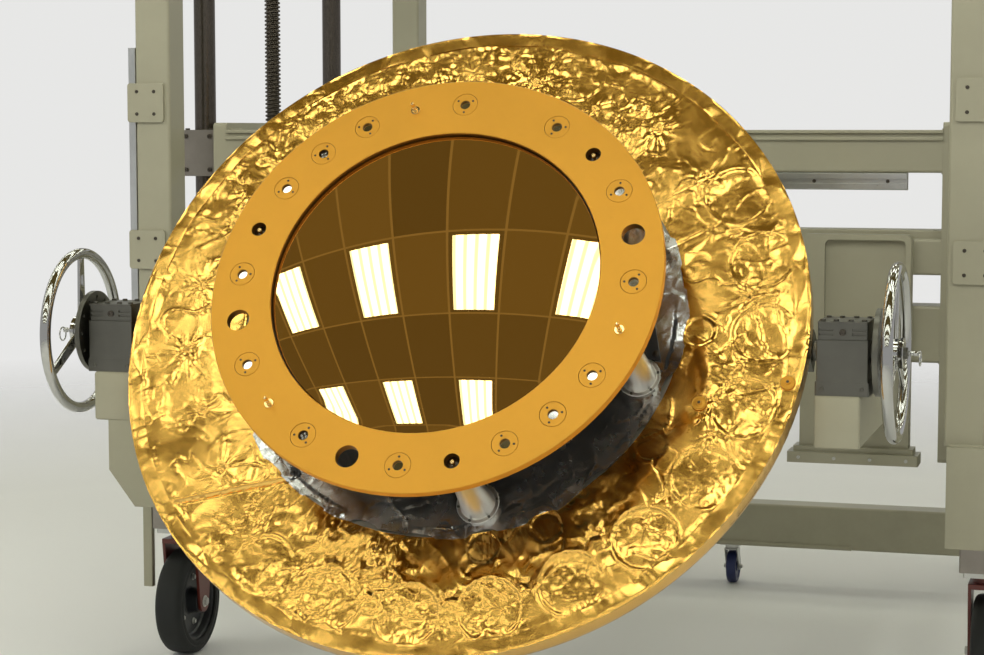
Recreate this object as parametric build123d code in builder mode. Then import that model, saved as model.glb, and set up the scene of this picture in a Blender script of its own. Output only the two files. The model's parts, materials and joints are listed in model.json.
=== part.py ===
"""Gold-ringed satellite mirror unit on its foil shield, carried in a lifting and turnover stand.

Sizes are millimetres. X runs along the trunnion axis, Y runs from the mirror side to the
tower side and Z is up. The origin is on the floor, in the middle of the footprint.
"""
import math
import os

from build123d import *

# Driving sizes of the mirror unit, measured from the trunnion axis along the mirror's axis
tilt_deg = 32.5
bolt_circle_r = 450.0
ring_outer_band = 64.0
ring_inner_band = 75.5
ring_thick = 20.0
ring_edge_chamfer = 1.5
ring_standoff = 222.5
shield_r = 801.0
blanket_thick = 8.0
panel_thick = 42.0
silver_margin = 70.0
hem_wall = 3.7
hem_lip = 36.0
hem_lip_thick = 2.0
pocket_count = 24
pocket_r = 70.0
pocket_inset = 101.0
pocket_depth = 10.0
seat_gap = 0.3

# Stations round the ring, in degrees from the right-hand side, counter-clockwise from the front
target_angles = (-150, -120, -90, -60, -45, -30, 0, 30, 60, 90, 120, 135, 150, 180)
big_hole_angles = (-165, -105, 15)
screw_angles = (-75, 45, 165)
pin_angles = (-135, -15, 105)

target_r = 29.0
target_thick = 6.0
target_bore_r = 11.5
target_through_r = 15.0
flat_thick = 8.0
big_hole_r = 26.0
screw_hole_r = 17.5
pin_r = 4.5
pin_shank_r = 6.0
pin_height = 30.0
pin_depth = 12.0
pin_washer_r = 11.0
pin_washer_thick = 2.5
ball_r = 6.0
ball_stem_r = 3.5
ball_stem_height = 8.0

mirror_inset = 2.5
mirror_edge_below = 12.0
mirror_edge_thick = 40.0
mirror_curve_r = 1970.0
mirror_gap = 0.8
cell_leg_gap = 6.0
cell_floor = 12.0
cell_hole_r = 165.0

leg_count = 6
leg_start_deg = -15.0
leg_flange_r = 48.0
leg_flange_thick = 8.0
leg_base_r = 39.0
leg_top_r = 21.0
leg_neck = 29.5
leg_head_r = 30.0
leg_head_thick = 8.0

bracket_angles = (-3.5, 116.5, 236.5)
bracket_offset = 2.0
bracket_length = 92.0
bracket_width = 62.0
bracket_height = 96.0
bracket_toe = 12.0
bracket_thick = 4.0
bracket_hole_r = 4.5
bracket_hole_inset = 14.0
bracket_hole_pitch = 30.0
bracket_hole_shift = 3.0

# Tie buttons: one inside the pockets, one on the hem's lip and one on the silver foil
button_angles = (-17, -9, -130)
button_pocket_inset = 97.0
button_hem_inset = 27.0
button_silver_inset = 17.0
button_r = 17.0
button_thick = 3.0
button_boss_r = 6.0
button_boss_height = 4.0
button_taper = 20

frame_beam_half = 40.0
frame_beam_depth = 60.0
frame_ring_r = 560.0
frame_ring_width = 60.0
frame_ring_depth = 34.0
frame_rib_count = 12
frame_rib_thick = 10.0
frame_rib_inset = 31.0
frame_hub_r = 150.0

# Corners of plates and blocks
fine_corner = 2.0
plate_corner = 3.0
block_corner = 4.0
pad_corner = 6.0
beam_corner = 8.0

# Trunnions, hand wheels and what carries them on each arm
trunnion_z = 1015.0
trunnion_gap = 12.0
shaft_r = 22.0
shaft_flange_corner = 6.0
shaft_flange_thick = 12.0
bearing_clearance = 0.05
block_width = 118.0
block_inset = 3.0
block_half_depth = 68.0
block_base_drop = 91.0
block_base_thick = 30.0
block_top_over_axis = 30.5
cap_height = 36.0
cap_plate_thick = 4.5
cap_inset = 5.0
cap_pad_half = 18.0
cap_recess = 4.0
cap_groove = 5.0
index_gap = 8.0
index_thick = 12.0
index_r = 97.0
index_hole_r = 5.0
index_hole_circle_r = 82.0
index_hole_count = 12
index_boss_r = 36.0
index_boss_length = 13.0
wheel_r = 187.0
wheel_rim_r = 13.0
wheel_spoke_width = 30.0
wheel_spoke_thick = 8.0
wheel_hub_r = 34.0
wheel_hub_half = 17.0
wheel_spoke_count = 3
shaft_nose_r = 13.0
shaft_nose_length = 8.0
pull_pin_r = 6.0
pull_pin_length = 30.0
pull_ring_r = 16.0
pull_ring_wire_r = 1.8

# Lifting crosshead: rises and drops are from the trunnion axis
arm_gap = 11.0
arm_width = 100.0
arm_height = 116.0
arm_overhang = 2.0
arm_corner = 7.0
turn_gap = 61.0
crosshead_depth = 120.0
crosshead_length = 1140.0
side_plate_gap = 78.0
side_plate_thick = 40.0
side_plate_drop = 375.0
side_plate_rise = 505.0
side_plate_corner = 12.0
window_end_margin = 220.0
window_low_margin = 160.0
window_high_margin = 190.0
window_corner = 60.0
upper_beam_rise = 375.0
upper_beam_height = 110.0
upper_beam_lip = 9.0
mid_beam_rise = 112.0
mid_beam_height = 93.0
mid_ledge = 22.0
lower_beam_drop = 115.0
lower_beam_height = 147.0
slot_rail_short = 90.0
slot_rail_setback = 6.0
slot_rail_height = 45.0
slot_rail_depth = 34.0
slot_rail_slot = 12.0
end_box_width = 280.0
end_box_overlap = 8.0
end_box_rise = 217.0
end_box_depth = 58.0
end_box_corner = 14.0
end_recess_margin = 60.0
end_recess_drop = 15.0
end_recess_depth = 20.0
end_flange_reaches = (28.0, 14.0)
end_flange_thick = 28.0
end_flange_step = 14.0
guide_block_half = 50.0
guide_block_height = 130.0
guide_block_depth = 110.0
nut_block_height = 120.0
nut_block_depth = 130.0

# Towers and base
guide_r = 30.0
guide_clearance = 0.06
screw_r = 24.0
post_size = 100.0
post_front_gap = 240.0
post_back_gap = 740.0
tower_top_z = 2500.0
top_rail_height = 100.0
top_rail_half = 60.0
rail_in = 40.0
rail_out = 130.0
rail_height = 251.0
rail_overhang = 80.0
rail_cut_width = 76.0
rail_cut_height = 99.0
gearbox_size = (150.0, 170.0, 110.0)
gearbox_corner = 14.0
cross_shaft_r = 14.0
motor_r = 54.0
motor_length = 230.0
motor_foot_width = 93.0
strip_width = 20.0
strip_depth = 25.0
strip_length = 993.0
strip_corner = 1.0
clamp_size = 105.0
clamp_thick = 8.0
clamp_corner = 8.0
clamp_rises = (398.0, 793.0)
clamp_hole_r = 3.5
clamp_hole_pitch = (50.0, 60.0)
clamp_hole_depth = 30.0
low_beam_height = 140.0
low_beam_depth = 100.0
low_beam_gap = 220.0
drop_plate_thick = 20.0
drop_plate_short = 30.0
lip_r = 8.0
lip_half_length = 600.0

# Castors
castor_offset = 50.0
front_castor_inset = 330.0
rear_castor_inset = 280.0
rear_trail = 55.0
wheel_tyre_r = 150.0
tyre_width = 80.0
tyre_inner_r = 112.0
tyre_shoulder = 12.0
rim_width = 62.0
rim_wall = 10.0
rim_hub_r = 34.0
rim_hub_gap = 3.0
rim_web = 14.0
axle_r = 10.0
axle_clearance = 0.05
fork_side_gap = 5.0
fork_plate = 8.0
fork_top_width = 110.0
fork_end_r = 30.0
crown_thick = 14.0
crown_gap = 22.0
race_r = 46.0
race_height = 18.0
castor_plate_thick = 14.0
castor_plate_size = 130.0
castor_plate_corner = 5.0
castor_pad_size = 150.0
castor_pad_height = 108.0
guard_width = 28.0
guard_depth = 20.0
guard_length = 260.0
guard_top_gap = 16.0

aux_x = 200.0
aux_trail = 25.0
aux_wheel_r = 55.0
aux_wheel_width = 32.0
aux_fork_side_gap = 3.0
aux_fork_plate = 3.0
aux_fork_top = 50.0
aux_fork_end_r = 13.0
aux_axle_r = 5.0
aux_crown_thick = 5.0
aux_crown_gap = 7.0
aux_race_r = 22.0
aux_race_height = 13.0
aux_plate_thick = 5.0
aux_plate_size = 70.0

# Levels of the mirror unit: its frame's beam is centred on the trunnion axis
tilt = math.radians(tilt_deg)
panel_back = frame_beam_depth / 2
panel_front = panel_back + panel_thick
shield_face = panel_front + blanket_thick
ring_face = shield_face + ring_standoff
ring_back = ring_face - ring_thick
mirror_edge = ring_face - mirror_edge_below
mirror_back = mirror_edge - mirror_edge_thick

# Radii of the mirror unit
ring_outer_r = bolt_circle_r + ring_outer_band
ring_inner_r = bolt_circle_r - ring_inner_band
mirror_r = ring_inner_r - mirror_inset
mirror_sag = mirror_curve_r - math.sqrt(mirror_curve_r**2 - mirror_r**2)
cell_outer_r = bolt_circle_r - leg_head_r - cell_leg_gap
bracket_circle_r = bolt_circle_r + bracket_offset
silver_r = bolt_circle_r + silver_margin
panel_r = shield_r - hem_wall - seat_gap
pocket_circle_r = shield_r - pocket_inset
frame_rib_outer_r = shield_r - frame_rib_inset

# Tie buttons, as radius, station angle and level of what they lie on
button_places = (
    (pocket_circle_r - button_pocket_inset, button_angles[0], shield_face),
    (shield_r - button_hem_inset, button_angles[1], shield_face + hem_lip_thick),
    (silver_r - button_silver_inset, button_angles[2], shield_face),
)

# Places along the trunnion axis, from the shield outwards to the towers and castors
arm_x = (shield_r + arm_gap, shield_r + arm_gap + arm_width)
block_x = (arm_x[0], arm_x[0] + block_width)
frame_beam_end = block_x[0] - trunnion_gap - shaft_flange_thick
index_x = block_x[1] + index_gap
wheel_x = index_x + index_thick + index_boss_length + wheel_hub_half
pull_start_x = wheel_x + wheel_hub_half + shaft_nose_length
end_box_x = (arm_x[1] + end_box_overlap - end_box_width, arm_x[1] + end_box_overlap)
side_plate_x = arm_x[1] + side_plate_gap
side_plate_outer = side_plate_x + side_plate_thick
tower_x = side_plate_outer + guide_block_half
rail_x = (tower_x - rail_in, tower_x + rail_out)
castor_x = tower_x + castor_offset
post_x = (tower_x - post_size / 2, tower_x + post_size / 2)
strip_x = (post_x[1], post_x[1] + strip_width)
clamp_x = (strip_x[1] - clamp_size, strip_x[1])

# Places from the trunnion axis backwards
crosshead_y = (shield_r + turn_gap + end_box_depth, shield_r + turn_gap + end_box_depth + crosshead_length)
guide_ys = (crosshead_y[0] + crosshead_depth / 2, crosshead_y[1] - crosshead_depth / 2)
screw_y = (guide_ys[0] + guide_ys[1]) / 2
post_ys = (crosshead_y[0] - post_front_gap, crosshead_y[1] + post_back_gap)
post_front = post_ys[0] - post_size / 2
rail_ys = (post_ys[0] - rail_overhang, post_ys[1] + rail_overhang)
front_castor_y = rail_ys[0] + front_castor_inset
rear_castor_y = rail_ys[1] - rear_castor_inset
low_beam_back_y = rear_castor_y - low_beam_gap
low_beam_ys = (low_beam_back_y - low_beam_depth, low_beam_back_y)
aux_y = (low_beam_ys[0] + low_beam_ys[1]) / 2
front_reach = ring_outer_r * math.sin(tilt) + ring_face * math.cos(tilt)
origin_y = (front_reach - rail_ys[1]) / 2

# Levels of the lifting head
block_base_low = trunnion_z - block_base_drop
block_low = block_base_low + block_base_thick
block_high = trunnion_z + block_top_over_axis
arm_z = (block_base_low - arm_height, block_base_low)
side_plate_z = (trunnion_z - side_plate_drop, trunnion_z + side_plate_rise)
upper_beam_z = (trunnion_z + upper_beam_rise, trunnion_z + upper_beam_rise + upper_beam_height)
mid_beam_z = (trunnion_z + mid_beam_rise, trunnion_z + mid_beam_rise + mid_beam_height)
lower_beam_z = (trunnion_z - lower_beam_drop, trunnion_z - lower_beam_drop + lower_beam_height)
end_box_z = (side_plate_z[0], trunnion_z + end_box_rise)
nut_block_z = (side_plate_z[1] - nut_block_height, side_plate_z[1])

# Levels of the base, from the floor up
crown_z = 2 * wheel_tyre_r + crown_gap
castor_top_z = crown_z + crown_thick + race_height + castor_plate_thick
rail_z = (castor_top_z + castor_pad_height, castor_top_z + castor_pad_height + rail_height)
guard_z = (rail_z[0] - guard_top_gap - guard_length, rail_z[0] - guard_top_gap)
aux_crown_z = 2 * aux_wheel_r + aux_crown_gap
aux_race_top_z = aux_crown_z + aux_crown_thick + aux_race_height
low_beam_z = (aux_race_top_z + aux_plate_thick, aux_race_top_z + aux_plate_thick + low_beam_height)
clamp_lows = [rail_z[1] + rise for rise in clamp_rises]
top_z = (tower_top_z, tower_top_z + top_rail_height)


def unit_plane(height):
    """Plane square to the mirror's axis, that far in front of the trunnion axis."""
    forward = Vector(0, -math.cos(tilt), math.sin(tilt))
    return Plane((0, origin_y, trunnion_z), x_dir=(1, 0, 0), z_dir=forward).offset(height)


def stations(angles, radius=bolt_circle_r):
    """Points at the given station angles on a circle of the mirror unit."""
    return [
        (radius * math.cos(math.radians(a)), radius * math.sin(math.radians(a))) for a in angles
    ]


def bar(x_span, y_span, z_span, corner, along):
    """Add a rounded box section that runs along X, Y or Z to the open part."""
    low = Vector(x_span[0], y_span[0] + origin_y, z_span[0])
    size = (x_span[1] - x_span[0], y_span[1] - y_span[0], z_span[1] - z_span[0])
    planes = {
        "x": (Plane(low, x_dir=(0, 1, 0), z_dir=(1, 0, 0)), size[1], size[2], size[0]),
        "y": (Plane(low, x_dir=(0, 0, 1), z_dir=(0, 1, 0)), size[2], size[0], size[1]),
        "z": (Plane(low, x_dir=(1, 0, 0), z_dir=(0, 0, 1)), size[0], size[1], size[2]),
    }
    plane, wide, high, long = planes[along]
    with BuildSketch(plane) as section:
        with Locations((wide / 2, high / 2)):
            RectangleRounded(wide, high, corner)
    extrude(section.sketch, amount=long)


def across(x, y, z):
    """Plane at a point that faces +X, with Y to its right and Z up."""
    return Plane((x, y + origin_y, z), x_dir=(0, 1, 0), z_dir=(1, 0, 0))


def frontal(x, y, z):
    """Plane at a point that faces the mirror side, with X to its right and Z up."""
    return Plane((x, y + origin_y, z), x_dir=(1, 0, 0), z_dir=(0, -1, 0))


def level(x, y, z):
    """Level plane at a point."""
    return Plane((x, y + origin_y, z))


def clamp_holes(front_y, depth):
    """Cut the four screw holes of each clamp plate into the open part."""
    clamp_mid_x = strip_x[1] - clamp_size / 2
    for clamp_low in clamp_lows:
        with BuildSketch(frontal(clamp_mid_x, front_y, clamp_low + clamp_size / 2)) as pattern:
            with GridLocations(*clamp_hole_pitch, 2, 2):
                Circle(clamp_hole_r)
        extrude(pattern.sketch, amount=-depth, mode=Mode.SUBTRACT)


def save(piece, name):
    """Label a finished piece and write its file."""
    piece.part.label = name
    export_step(piece.part, f"parts/{name}.step")


os.makedirs("parts", exist_ok=True)

# Shield panel: a flat disc with round pockets in its front face
with BuildPart(unit_plane(panel_back)) as support_panel:
    Cylinder(panel_r, panel_thick, align=(Align.CENTER, Align.CENTER, Align.MIN))
    with BuildSketch(unit_plane(panel_front)):
        with PolarLocations(pocket_circle_r, pocket_count):
            Circle(pocket_r)
    extrude(amount=-pocket_depth, mode=Mode.SUBTRACT)
save(support_panel, "support_panel")

# Gold blanket: the outer annulus of foil
with BuildPart() as gold_blanket:
    with BuildSketch(unit_plane(panel_front)):
        Circle(panel_r)
        Circle(silver_r + seat_gap, mode=Mode.SUBTRACT)
    extrude(amount=blanket_thick)
save(gold_blanket, "gold_blanket")

# Silver blanket: the centre of the shield, open round the feet of the legs
with BuildPart() as silver_blanket:
    with BuildSketch(unit_plane(panel_front)):
        Circle(silver_r)
        with PolarLocations(bolt_circle_r, leg_count, start_angle=leg_start_deg):
            Circle(leg_flange_r + seat_gap, mode=Mode.SUBTRACT)
    extrude(amount=blanket_thick)
save(silver_blanket, "silver_blanket")

# Hem strip: a band round the panel's edge with a lip over the blanket
with BuildPart() as hem_strip:
    with BuildSketch(unit_plane(panel_back)):
        Circle(shield_r)
        Circle(panel_r + seat_gap, mode=Mode.SUBTRACT)
    extrude(amount=panel_thick + blanket_thick)
    with BuildSketch(unit_plane(shield_face)):
        Circle(shield_r)
        Circle(shield_r - hem_lip, mode=Mode.SUBTRACT)
    extrude(amount=hem_lip_thick)
save(hem_strip, "hem_strip")

# Tie buttons: washers with a raised middle, pressed on the blankets
with BuildPart() as blanket_buttons:
    for radius, angle, height in button_places:
        with BuildSketch(unit_plane(height)):
            with Locations(*stations([angle], radius)):
                Circle(button_r)
        extrude(amount=button_thick)
        with BuildSketch(unit_plane(height + button_thick)):
            with Locations(*stations([angle], radius)):
                Circle(button_boss_r)
        extrude(amount=button_boss_height, taper=button_taper)
save(blanket_buttons, "blanket_buttons")

# Ring plate with its four kinds of station
with BuildPart() as gold_ring:
    with BuildSketch(unit_plane(ring_back)):
        Circle(ring_outer_r)
        Circle(ring_inner_r, mode=Mode.SUBTRACT)
        with Locations(*stations(big_hole_angles)):
            Circle(big_hole_r, mode=Mode.SUBTRACT)
        with Locations(*stations(screw_angles)):
            Circle(screw_hole_r, mode=Mode.SUBTRACT)
        with Locations(*stations(target_angles)):
            Circle(target_through_r, mode=Mode.SUBTRACT)
        with Locations(*stations(pin_angles)):
            Circle(pin_shank_r + seat_gap, mode=Mode.SUBTRACT)
    extrude(amount=ring_thick)
    with BuildSketch(unit_plane(ring_face)):
        with Locations(*stations(target_angles)):
            Circle(target_r + seat_gap)
    extrude(amount=-target_thick, mode=Mode.SUBTRACT)
    rims = gold_ring.edges().filter_by(GeomType.CIRCLE).filter_by(
        lambda e: e.radius > bolt_circle_r / 2
    )
    chamfer(rims, ring_edge_chamfer)
save(gold_ring, "gold_ring")

# Target inserts: discs flush with the ring's face
with BuildPart() as target_inserts:
    with BuildSketch(unit_plane(ring_face - target_thick)):
        with Locations(*stations(target_angles)):
            Circle(target_r)
            Circle(target_bore_r, mode=Mode.SUBTRACT)
    extrude(amount=target_thick)
save(target_inserts, "target_inserts")

# Target flats: small polished discs behind the inserts
with BuildPart() as target_flats:
    with BuildSketch(unit_plane(ring_face - target_thick - flat_thick)):
        with Locations(*stations(target_angles)):
            Circle(target_through_r - seat_gap)
    extrude(amount=flat_thick)
save(target_flats, "target_flats")

# One guide pin: a shank in the ring, a washer on its face and a pointed pin
with BuildPart() as guide_pin:
    with BuildSketch(Plane.XZ):
        with BuildLine():
            Polyline(
                (0, -pin_depth),
                (pin_shank_r, -pin_depth),
                (pin_shank_r, 0),
                (pin_washer_r, 0),
                (pin_washer_r, pin_washer_thick),
                (pin_r, pin_washer_thick + pin_r),
                (pin_r, pin_height - pin_r),
                (pin_r / 2, pin_height),
                (0, pin_height),
                close=True,
            )
        make_face()
    revolve(axis=Axis.Z)

with BuildPart(unit_plane(ring_face)) as guide_pins:
    with Locations(*stations(pin_angles)):
        add(guide_pin.part)
save(guide_pins, "guide_pins")

# One adjuster screw: a ball on a short stem, standing on a leg's head
with BuildPart() as adjuster_screw:
    with BuildSketch(Plane.XZ):
        with BuildLine():
            ball_z = ball_stem_height + ball_r
            neck_z = ball_z - math.sqrt(ball_r**2 - ball_stem_r**2)
            Polyline((0, ball_z + ball_r), (0, 0), (ball_stem_r, 0), (ball_stem_r, neck_z))
            ThreePointArc((ball_stem_r, neck_z), (ball_r, ball_z), (0, ball_z + ball_r))
        make_face()
    revolve(axis=Axis.Z)

with BuildPart(unit_plane(ring_back)) as adjuster_screws:
    with Locations(*stations(screw_angles)):
        add(adjuster_screw.part)
save(adjuster_screws, "adjuster_screws")

# Convex mirror: flat back, straight edge and a domed front
with BuildPart() as mirror_form:
    with BuildSketch(Plane.XZ):
        with BuildLine():
            apex = mirror_edge_thick + mirror_sag
            bow_x = mirror_r / 2
            bow_z = apex - mirror_curve_r + math.sqrt(mirror_curve_r**2 - bow_x**2)
            Polyline((0, apex), (0, 0), (mirror_r, 0), (mirror_r, mirror_edge_thick))
            ThreePointArc((mirror_r, mirror_edge_thick), (bow_x, bow_z), (0, apex))
        make_face()
    revolve(axis=Axis.Z)

with BuildPart(unit_plane(mirror_back)) as convex_mirror:
    add(mirror_form.part)
save(convex_mirror, "convex_mirror")

# Mirror cell: a cup behind the ring whose floor carries the mirror
with BuildPart() as cell_form:
    with BuildSketch(Plane.XZ):
        with BuildLine():
            cell_top = ring_back - mirror_back
            Polyline(
                (cell_hole_r, 0),
                (cell_hole_r, -cell_floor),
                (cell_outer_r - cell_floor, -cell_floor),
                (cell_outer_r, 0),
                (cell_outer_r, cell_top),
                (mirror_r + mirror_gap, cell_top),
                (mirror_r + mirror_gap, 0),
                close=True,
            )
        make_face()
    revolve(axis=Axis.Z)

with BuildPart(unit_plane(mirror_back)) as mirror_cell:
    add(cell_form.part)
save(mirror_cell, "mirror_cell")

# One standoff leg: foot flange, long cone, neck and head
with BuildPart() as leg_form:
    with BuildSketch(Plane.XZ):
        with BuildLine():
            leg_height = ring_back - panel_front
            neck_low = leg_height - leg_head_thick - leg_neck
            Polyline(
                (0, 0),
                (leg_flange_r, 0),
                (leg_flange_r, leg_flange_thick),
                (leg_base_r, leg_flange_thick),
                (leg_top_r, neck_low),
                (leg_top_r, leg_height - leg_head_thick),
                (leg_head_r, leg_height - leg_head_thick),
                (leg_head_r, leg_height),
                (0, leg_height),
                close=True,
            )
        make_face()
    revolve(axis=Axis.Z)

with BuildPart(unit_plane(panel_front)) as standoff_legs:
    with PolarLocations(bolt_circle_r, leg_count, start_angle=leg_start_deg):
        add(leg_form.part)
save(standoff_legs, "standoff_legs")

# One corner bracket: a tapered foot with two holes and an upright web along its long edge
with BuildPart() as bracket_form:
    with BuildSketch(Plane.XY):
        with BuildLine():
            Polyline(
                (-bracket_width / 2, -bracket_length / 2),
                (bracket_width / 2, -bracket_length / 2),
                (0, bracket_length / 2),
                (-bracket_width / 4, bracket_length / 2),
                close=True,
            )
        make_face()
        with Locations((bracket_hole_shift, bracket_hole_inset - bracket_length / 2)):
            with GridLocations(bracket_hole_pitch, 0, 2, 1):
                Circle(bracket_hole_r, mode=Mode.SUBTRACT)
    extrude(amount=bracket_thick)
    with BuildSketch(Plane((-bracket_width / 2, 0, 0), x_dir=(0, 1, 0), z_dir=(1, 0, 0))):
        with BuildLine():
            Polyline(
                (-bracket_length / 2, 0),
                (bracket_length / 2, 0),
                (bracket_length / 2, bracket_toe),
                (-bracket_length / 2, bracket_height),
                close=True,
            )
        make_face()
    extrude(amount=bracket_thick)

with BuildPart(unit_plane(shield_face)) as corner_brackets:
    with PolarLocations(bracket_circle_r, len(bracket_angles), start_angle=bracket_angles[0]):
        add(bracket_form.part)
save(corner_brackets, "corner_brackets")

# Back frame: a trunnion beam, a ring and tapering ribs on the panel's back
with BuildPart() as back_frame:
    with BuildSketch(unit_plane(panel_back)):
        Rectangle(2 * frame_beam_end, 2 * frame_beam_half)
        Circle(frame_hub_r)
    extrude(amount=-frame_beam_depth)
    with BuildSketch(unit_plane(panel_back)):
        Circle(frame_ring_r)
        Circle(frame_ring_r - frame_ring_width, mode=Mode.SUBTRACT)
        with PolarLocations(0, frame_rib_count):
            with Locations((frame_rib_outer_r / 2, 0)):
                Rectangle(frame_rib_outer_r, frame_rib_thick)
    extrude(amount=-frame_ring_depth)
save(back_frame, "back_frame")

# Trunnion shafts: a flange on the beam's end, the journal and a short nose outside the hand wheel
with BuildPart() as trunnion_shafts:
    beam_middle = unit_plane(panel_back - frame_beam_depth / 2).origin
    flange_origin = Vector(frame_beam_end, beam_middle.Y, beam_middle.Z)
    with BuildSketch(Plane(flange_origin, x_dir=unit_plane(0).y_dir, z_dir=(1, 0, 0))):
        RectangleRounded(2 * frame_beam_half, frame_beam_depth - seat_gap, shaft_flange_corner)
    extrude(amount=shaft_flange_thick)
    shaft_steps = (
        (frame_beam_end, wheel_x + wheel_hub_half, shaft_r),
        (wheel_x + wheel_hub_half, wheel_x + wheel_hub_half + shaft_nose_length, shaft_nose_r),
    )
    for start_x, end_x, radius in shaft_steps:
        with BuildSketch(across(start_x, 0, trunnion_z)):
            Circle(radius)
        extrude(amount=end_x - start_x)
    mirror(about=Plane.YZ)
save(trunnion_shafts, "trunnion_shafts")

# Index discs: drilled plates with a boss, keyed to the shafts beside the bearings
with BuildPart() as index_discs:
    with BuildSketch(across(index_x, 0, trunnion_z)):
        Circle(index_r)
        with PolarLocations(index_hole_circle_r, index_hole_count):
            Circle(index_hole_r, mode=Mode.SUBTRACT)
    extrude(amount=index_thick)
    with BuildSketch(across(index_x + index_thick, 0, trunnion_z)):
        Circle(index_boss_r)
    extrude(amount=index_boss_length)
    with BuildSketch(across(index_x, 0, trunnion_z)):
        Circle(shaft_r + seat_gap)
    extrude(amount=index_thick + index_boss_length, mode=Mode.SUBTRACT)
    mirror(about=Plane.YZ)
save(index_discs, "index_discs")

# Hand wheels: round rim, three flat spokes and a hub
with BuildPart() as hand_wheels:
    with BuildSketch(Plane((wheel_x, origin_y + wheel_r, trunnion_z), x_dir=(1, 0, 0))):
        Circle(wheel_rim_r)
    wheel_axis = Axis((wheel_x, origin_y, trunnion_z), (1, 0, 0))
    revolve(axis=wheel_axis)
    with BuildSketch(across(wheel_x - wheel_spoke_thick / 2, 0, trunnion_z)):
        with PolarLocations(0, wheel_spoke_count, start_angle=90):
            with Locations((wheel_r / 2, 0)):
                Rectangle(wheel_r, wheel_spoke_width)
    extrude(amount=wheel_spoke_thick)
    with BuildSketch(across(wheel_x - wheel_hub_half, 0, trunnion_z)):
        Circle(wheel_hub_r)
    extrude(amount=2 * wheel_hub_half)
    with BuildSketch(across(wheel_x - wheel_hub_half, 0, trunnion_z)):
        Circle(shaft_r + seat_gap)
    extrude(amount=2 * wheel_hub_half, mode=Mode.SUBTRACT)
    mirror(about=Plane.YZ)
save(hand_wheels, "hand_wheels")

# Pull pins: a plunger in each shaft's nose with a split ring through its end
with BuildPart() as pull_pins:
    with BuildSketch(across(pull_start_x, 0, trunnion_z)):
        Circle(pull_pin_r)
    extrude(amount=pull_pin_length)
    ring_x = pull_start_x + pull_pin_length - 2 * pull_ring_wire_r
    ring_z = trunnion_z - pull_ring_r + pull_pin_r
    with BuildSketch(Plane((ring_x, origin_y + pull_ring_r, ring_z), x_dir=(1, 0, 0))):
        Circle(pull_ring_wire_r)
    revolve(axis=Axis((ring_x, origin_y, ring_z), (1, 0, 0)))
    mirror(about=Plane.YZ)
save(pull_pins, "pull_pins")

# Arms: box tubes with a capped front end
with BuildPart() as arms:
    arm_y = (-block_half_depth - arm_overhang, crosshead_y[0] - end_box_depth)
    bar(arm_x, arm_y, arm_z, arm_corner, "y")
    mirror(about=Plane.YZ)
save(arms, "arms")

# Steel base plates between the arms and the bearing blocks
block_y = (-block_half_depth, block_half_depth)
with BuildPart() as bearing_bases:
    bar(block_x, block_y, (block_base_low, block_low), plate_corner, "z")
    mirror(about=Plane.YZ)
save(bearing_bases, "bearing_bases")

# Bearing blocks, bored for the trunnion shafts
with BuildPart() as bearing_blocks:
    body_x = (block_x[0] + block_inset, block_x[1] - block_inset)
    bar(body_x, block_y, (block_low, block_high), fine_corner, "z")
    with BuildSketch(across(block_x[0], 0, trunnion_z)):
        Circle(shaft_r + bearing_clearance)
    extrude(amount=block_x[1] - block_x[0], mode=Mode.SUBTRACT)
    mirror(about=Plane.YZ)
save(bearing_blocks, "bearing_blocks")

# Bearing caps: a grooved body with a plain pad in the middle and a thin top plate
cap_x = (block_x[0] + cap_inset, block_x[1] - cap_inset)
cap_y = (-block_half_depth + cap_inset, block_half_depth - cap_inset)
cap_mid_x = (cap_x[0] + cap_x[1]) / 2
with BuildPart() as bearing_caps:
    bar(cap_x, cap_y, (block_high, block_high + cap_height), fine_corner, "z")
    for side in (-1, 1):
        groove_x = cap_mid_x + side * (cap_pad_half + (cap_x[1] - cap_mid_x)) / 2
        with BuildSketch(frontal(groove_x, cap_y[0], block_high + cap_height / 2)):
            with GridLocations(0, 2 * cap_groove, 1, 2):
                Rectangle(cap_x[1] - cap_mid_x - cap_pad_half - cap_groove, cap_groove)
        extrude(amount=-cap_recess, mode=Mode.SUBTRACT)
    plate_y = (cap_y[0] - cap_inset, cap_y[1] + cap_inset)
    plate_z = (block_high + cap_height, block_high + cap_height + cap_plate_thick)
    bar(cap_x, plate_y, plate_z, fine_corner, "z")
    mirror(about=Plane.YZ)
save(bearing_caps, "bearing_caps")

# Crosshead beams: lipped upper beam, ledged middle beam, lower beam and a rear beam
beam_x = (-side_plate_x, side_plate_x)
front_y = (crosshead_y[0], crosshead_y[0] + crosshead_depth)
rear_y = (crosshead_y[1] - crosshead_depth, crosshead_y[1])
with BuildPart() as crosshead_beams:
    bar(beam_x, front_y, upper_beam_z, beam_corner, "x")
    for lip_low in (upper_beam_z[1] - upper_beam_lip, upper_beam_z[1] - 3 * upper_beam_lip):
        lip_y = (front_y[0] - upper_beam_lip, front_y[0] + beam_corner)
        bar(beam_x, lip_y, (lip_low, lip_low + upper_beam_lip), fine_corner, "x")
    bar(beam_x, front_y, mid_beam_z, beam_corner, "x")
    ledge_y = (front_y[0] + mid_ledge, front_y[1])
    ledge_z = (mid_beam_z[1] - beam_corner, mid_beam_z[1] + mid_ledge)
    bar(beam_x, ledge_y, ledge_z, block_corner, "x")
    bar(beam_x, front_y, lower_beam_z, beam_corner, "x")
    bar(beam_x, rear_y, upper_beam_z, beam_corner, "x")
save(crosshead_beams, "crosshead_beams")

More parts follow.
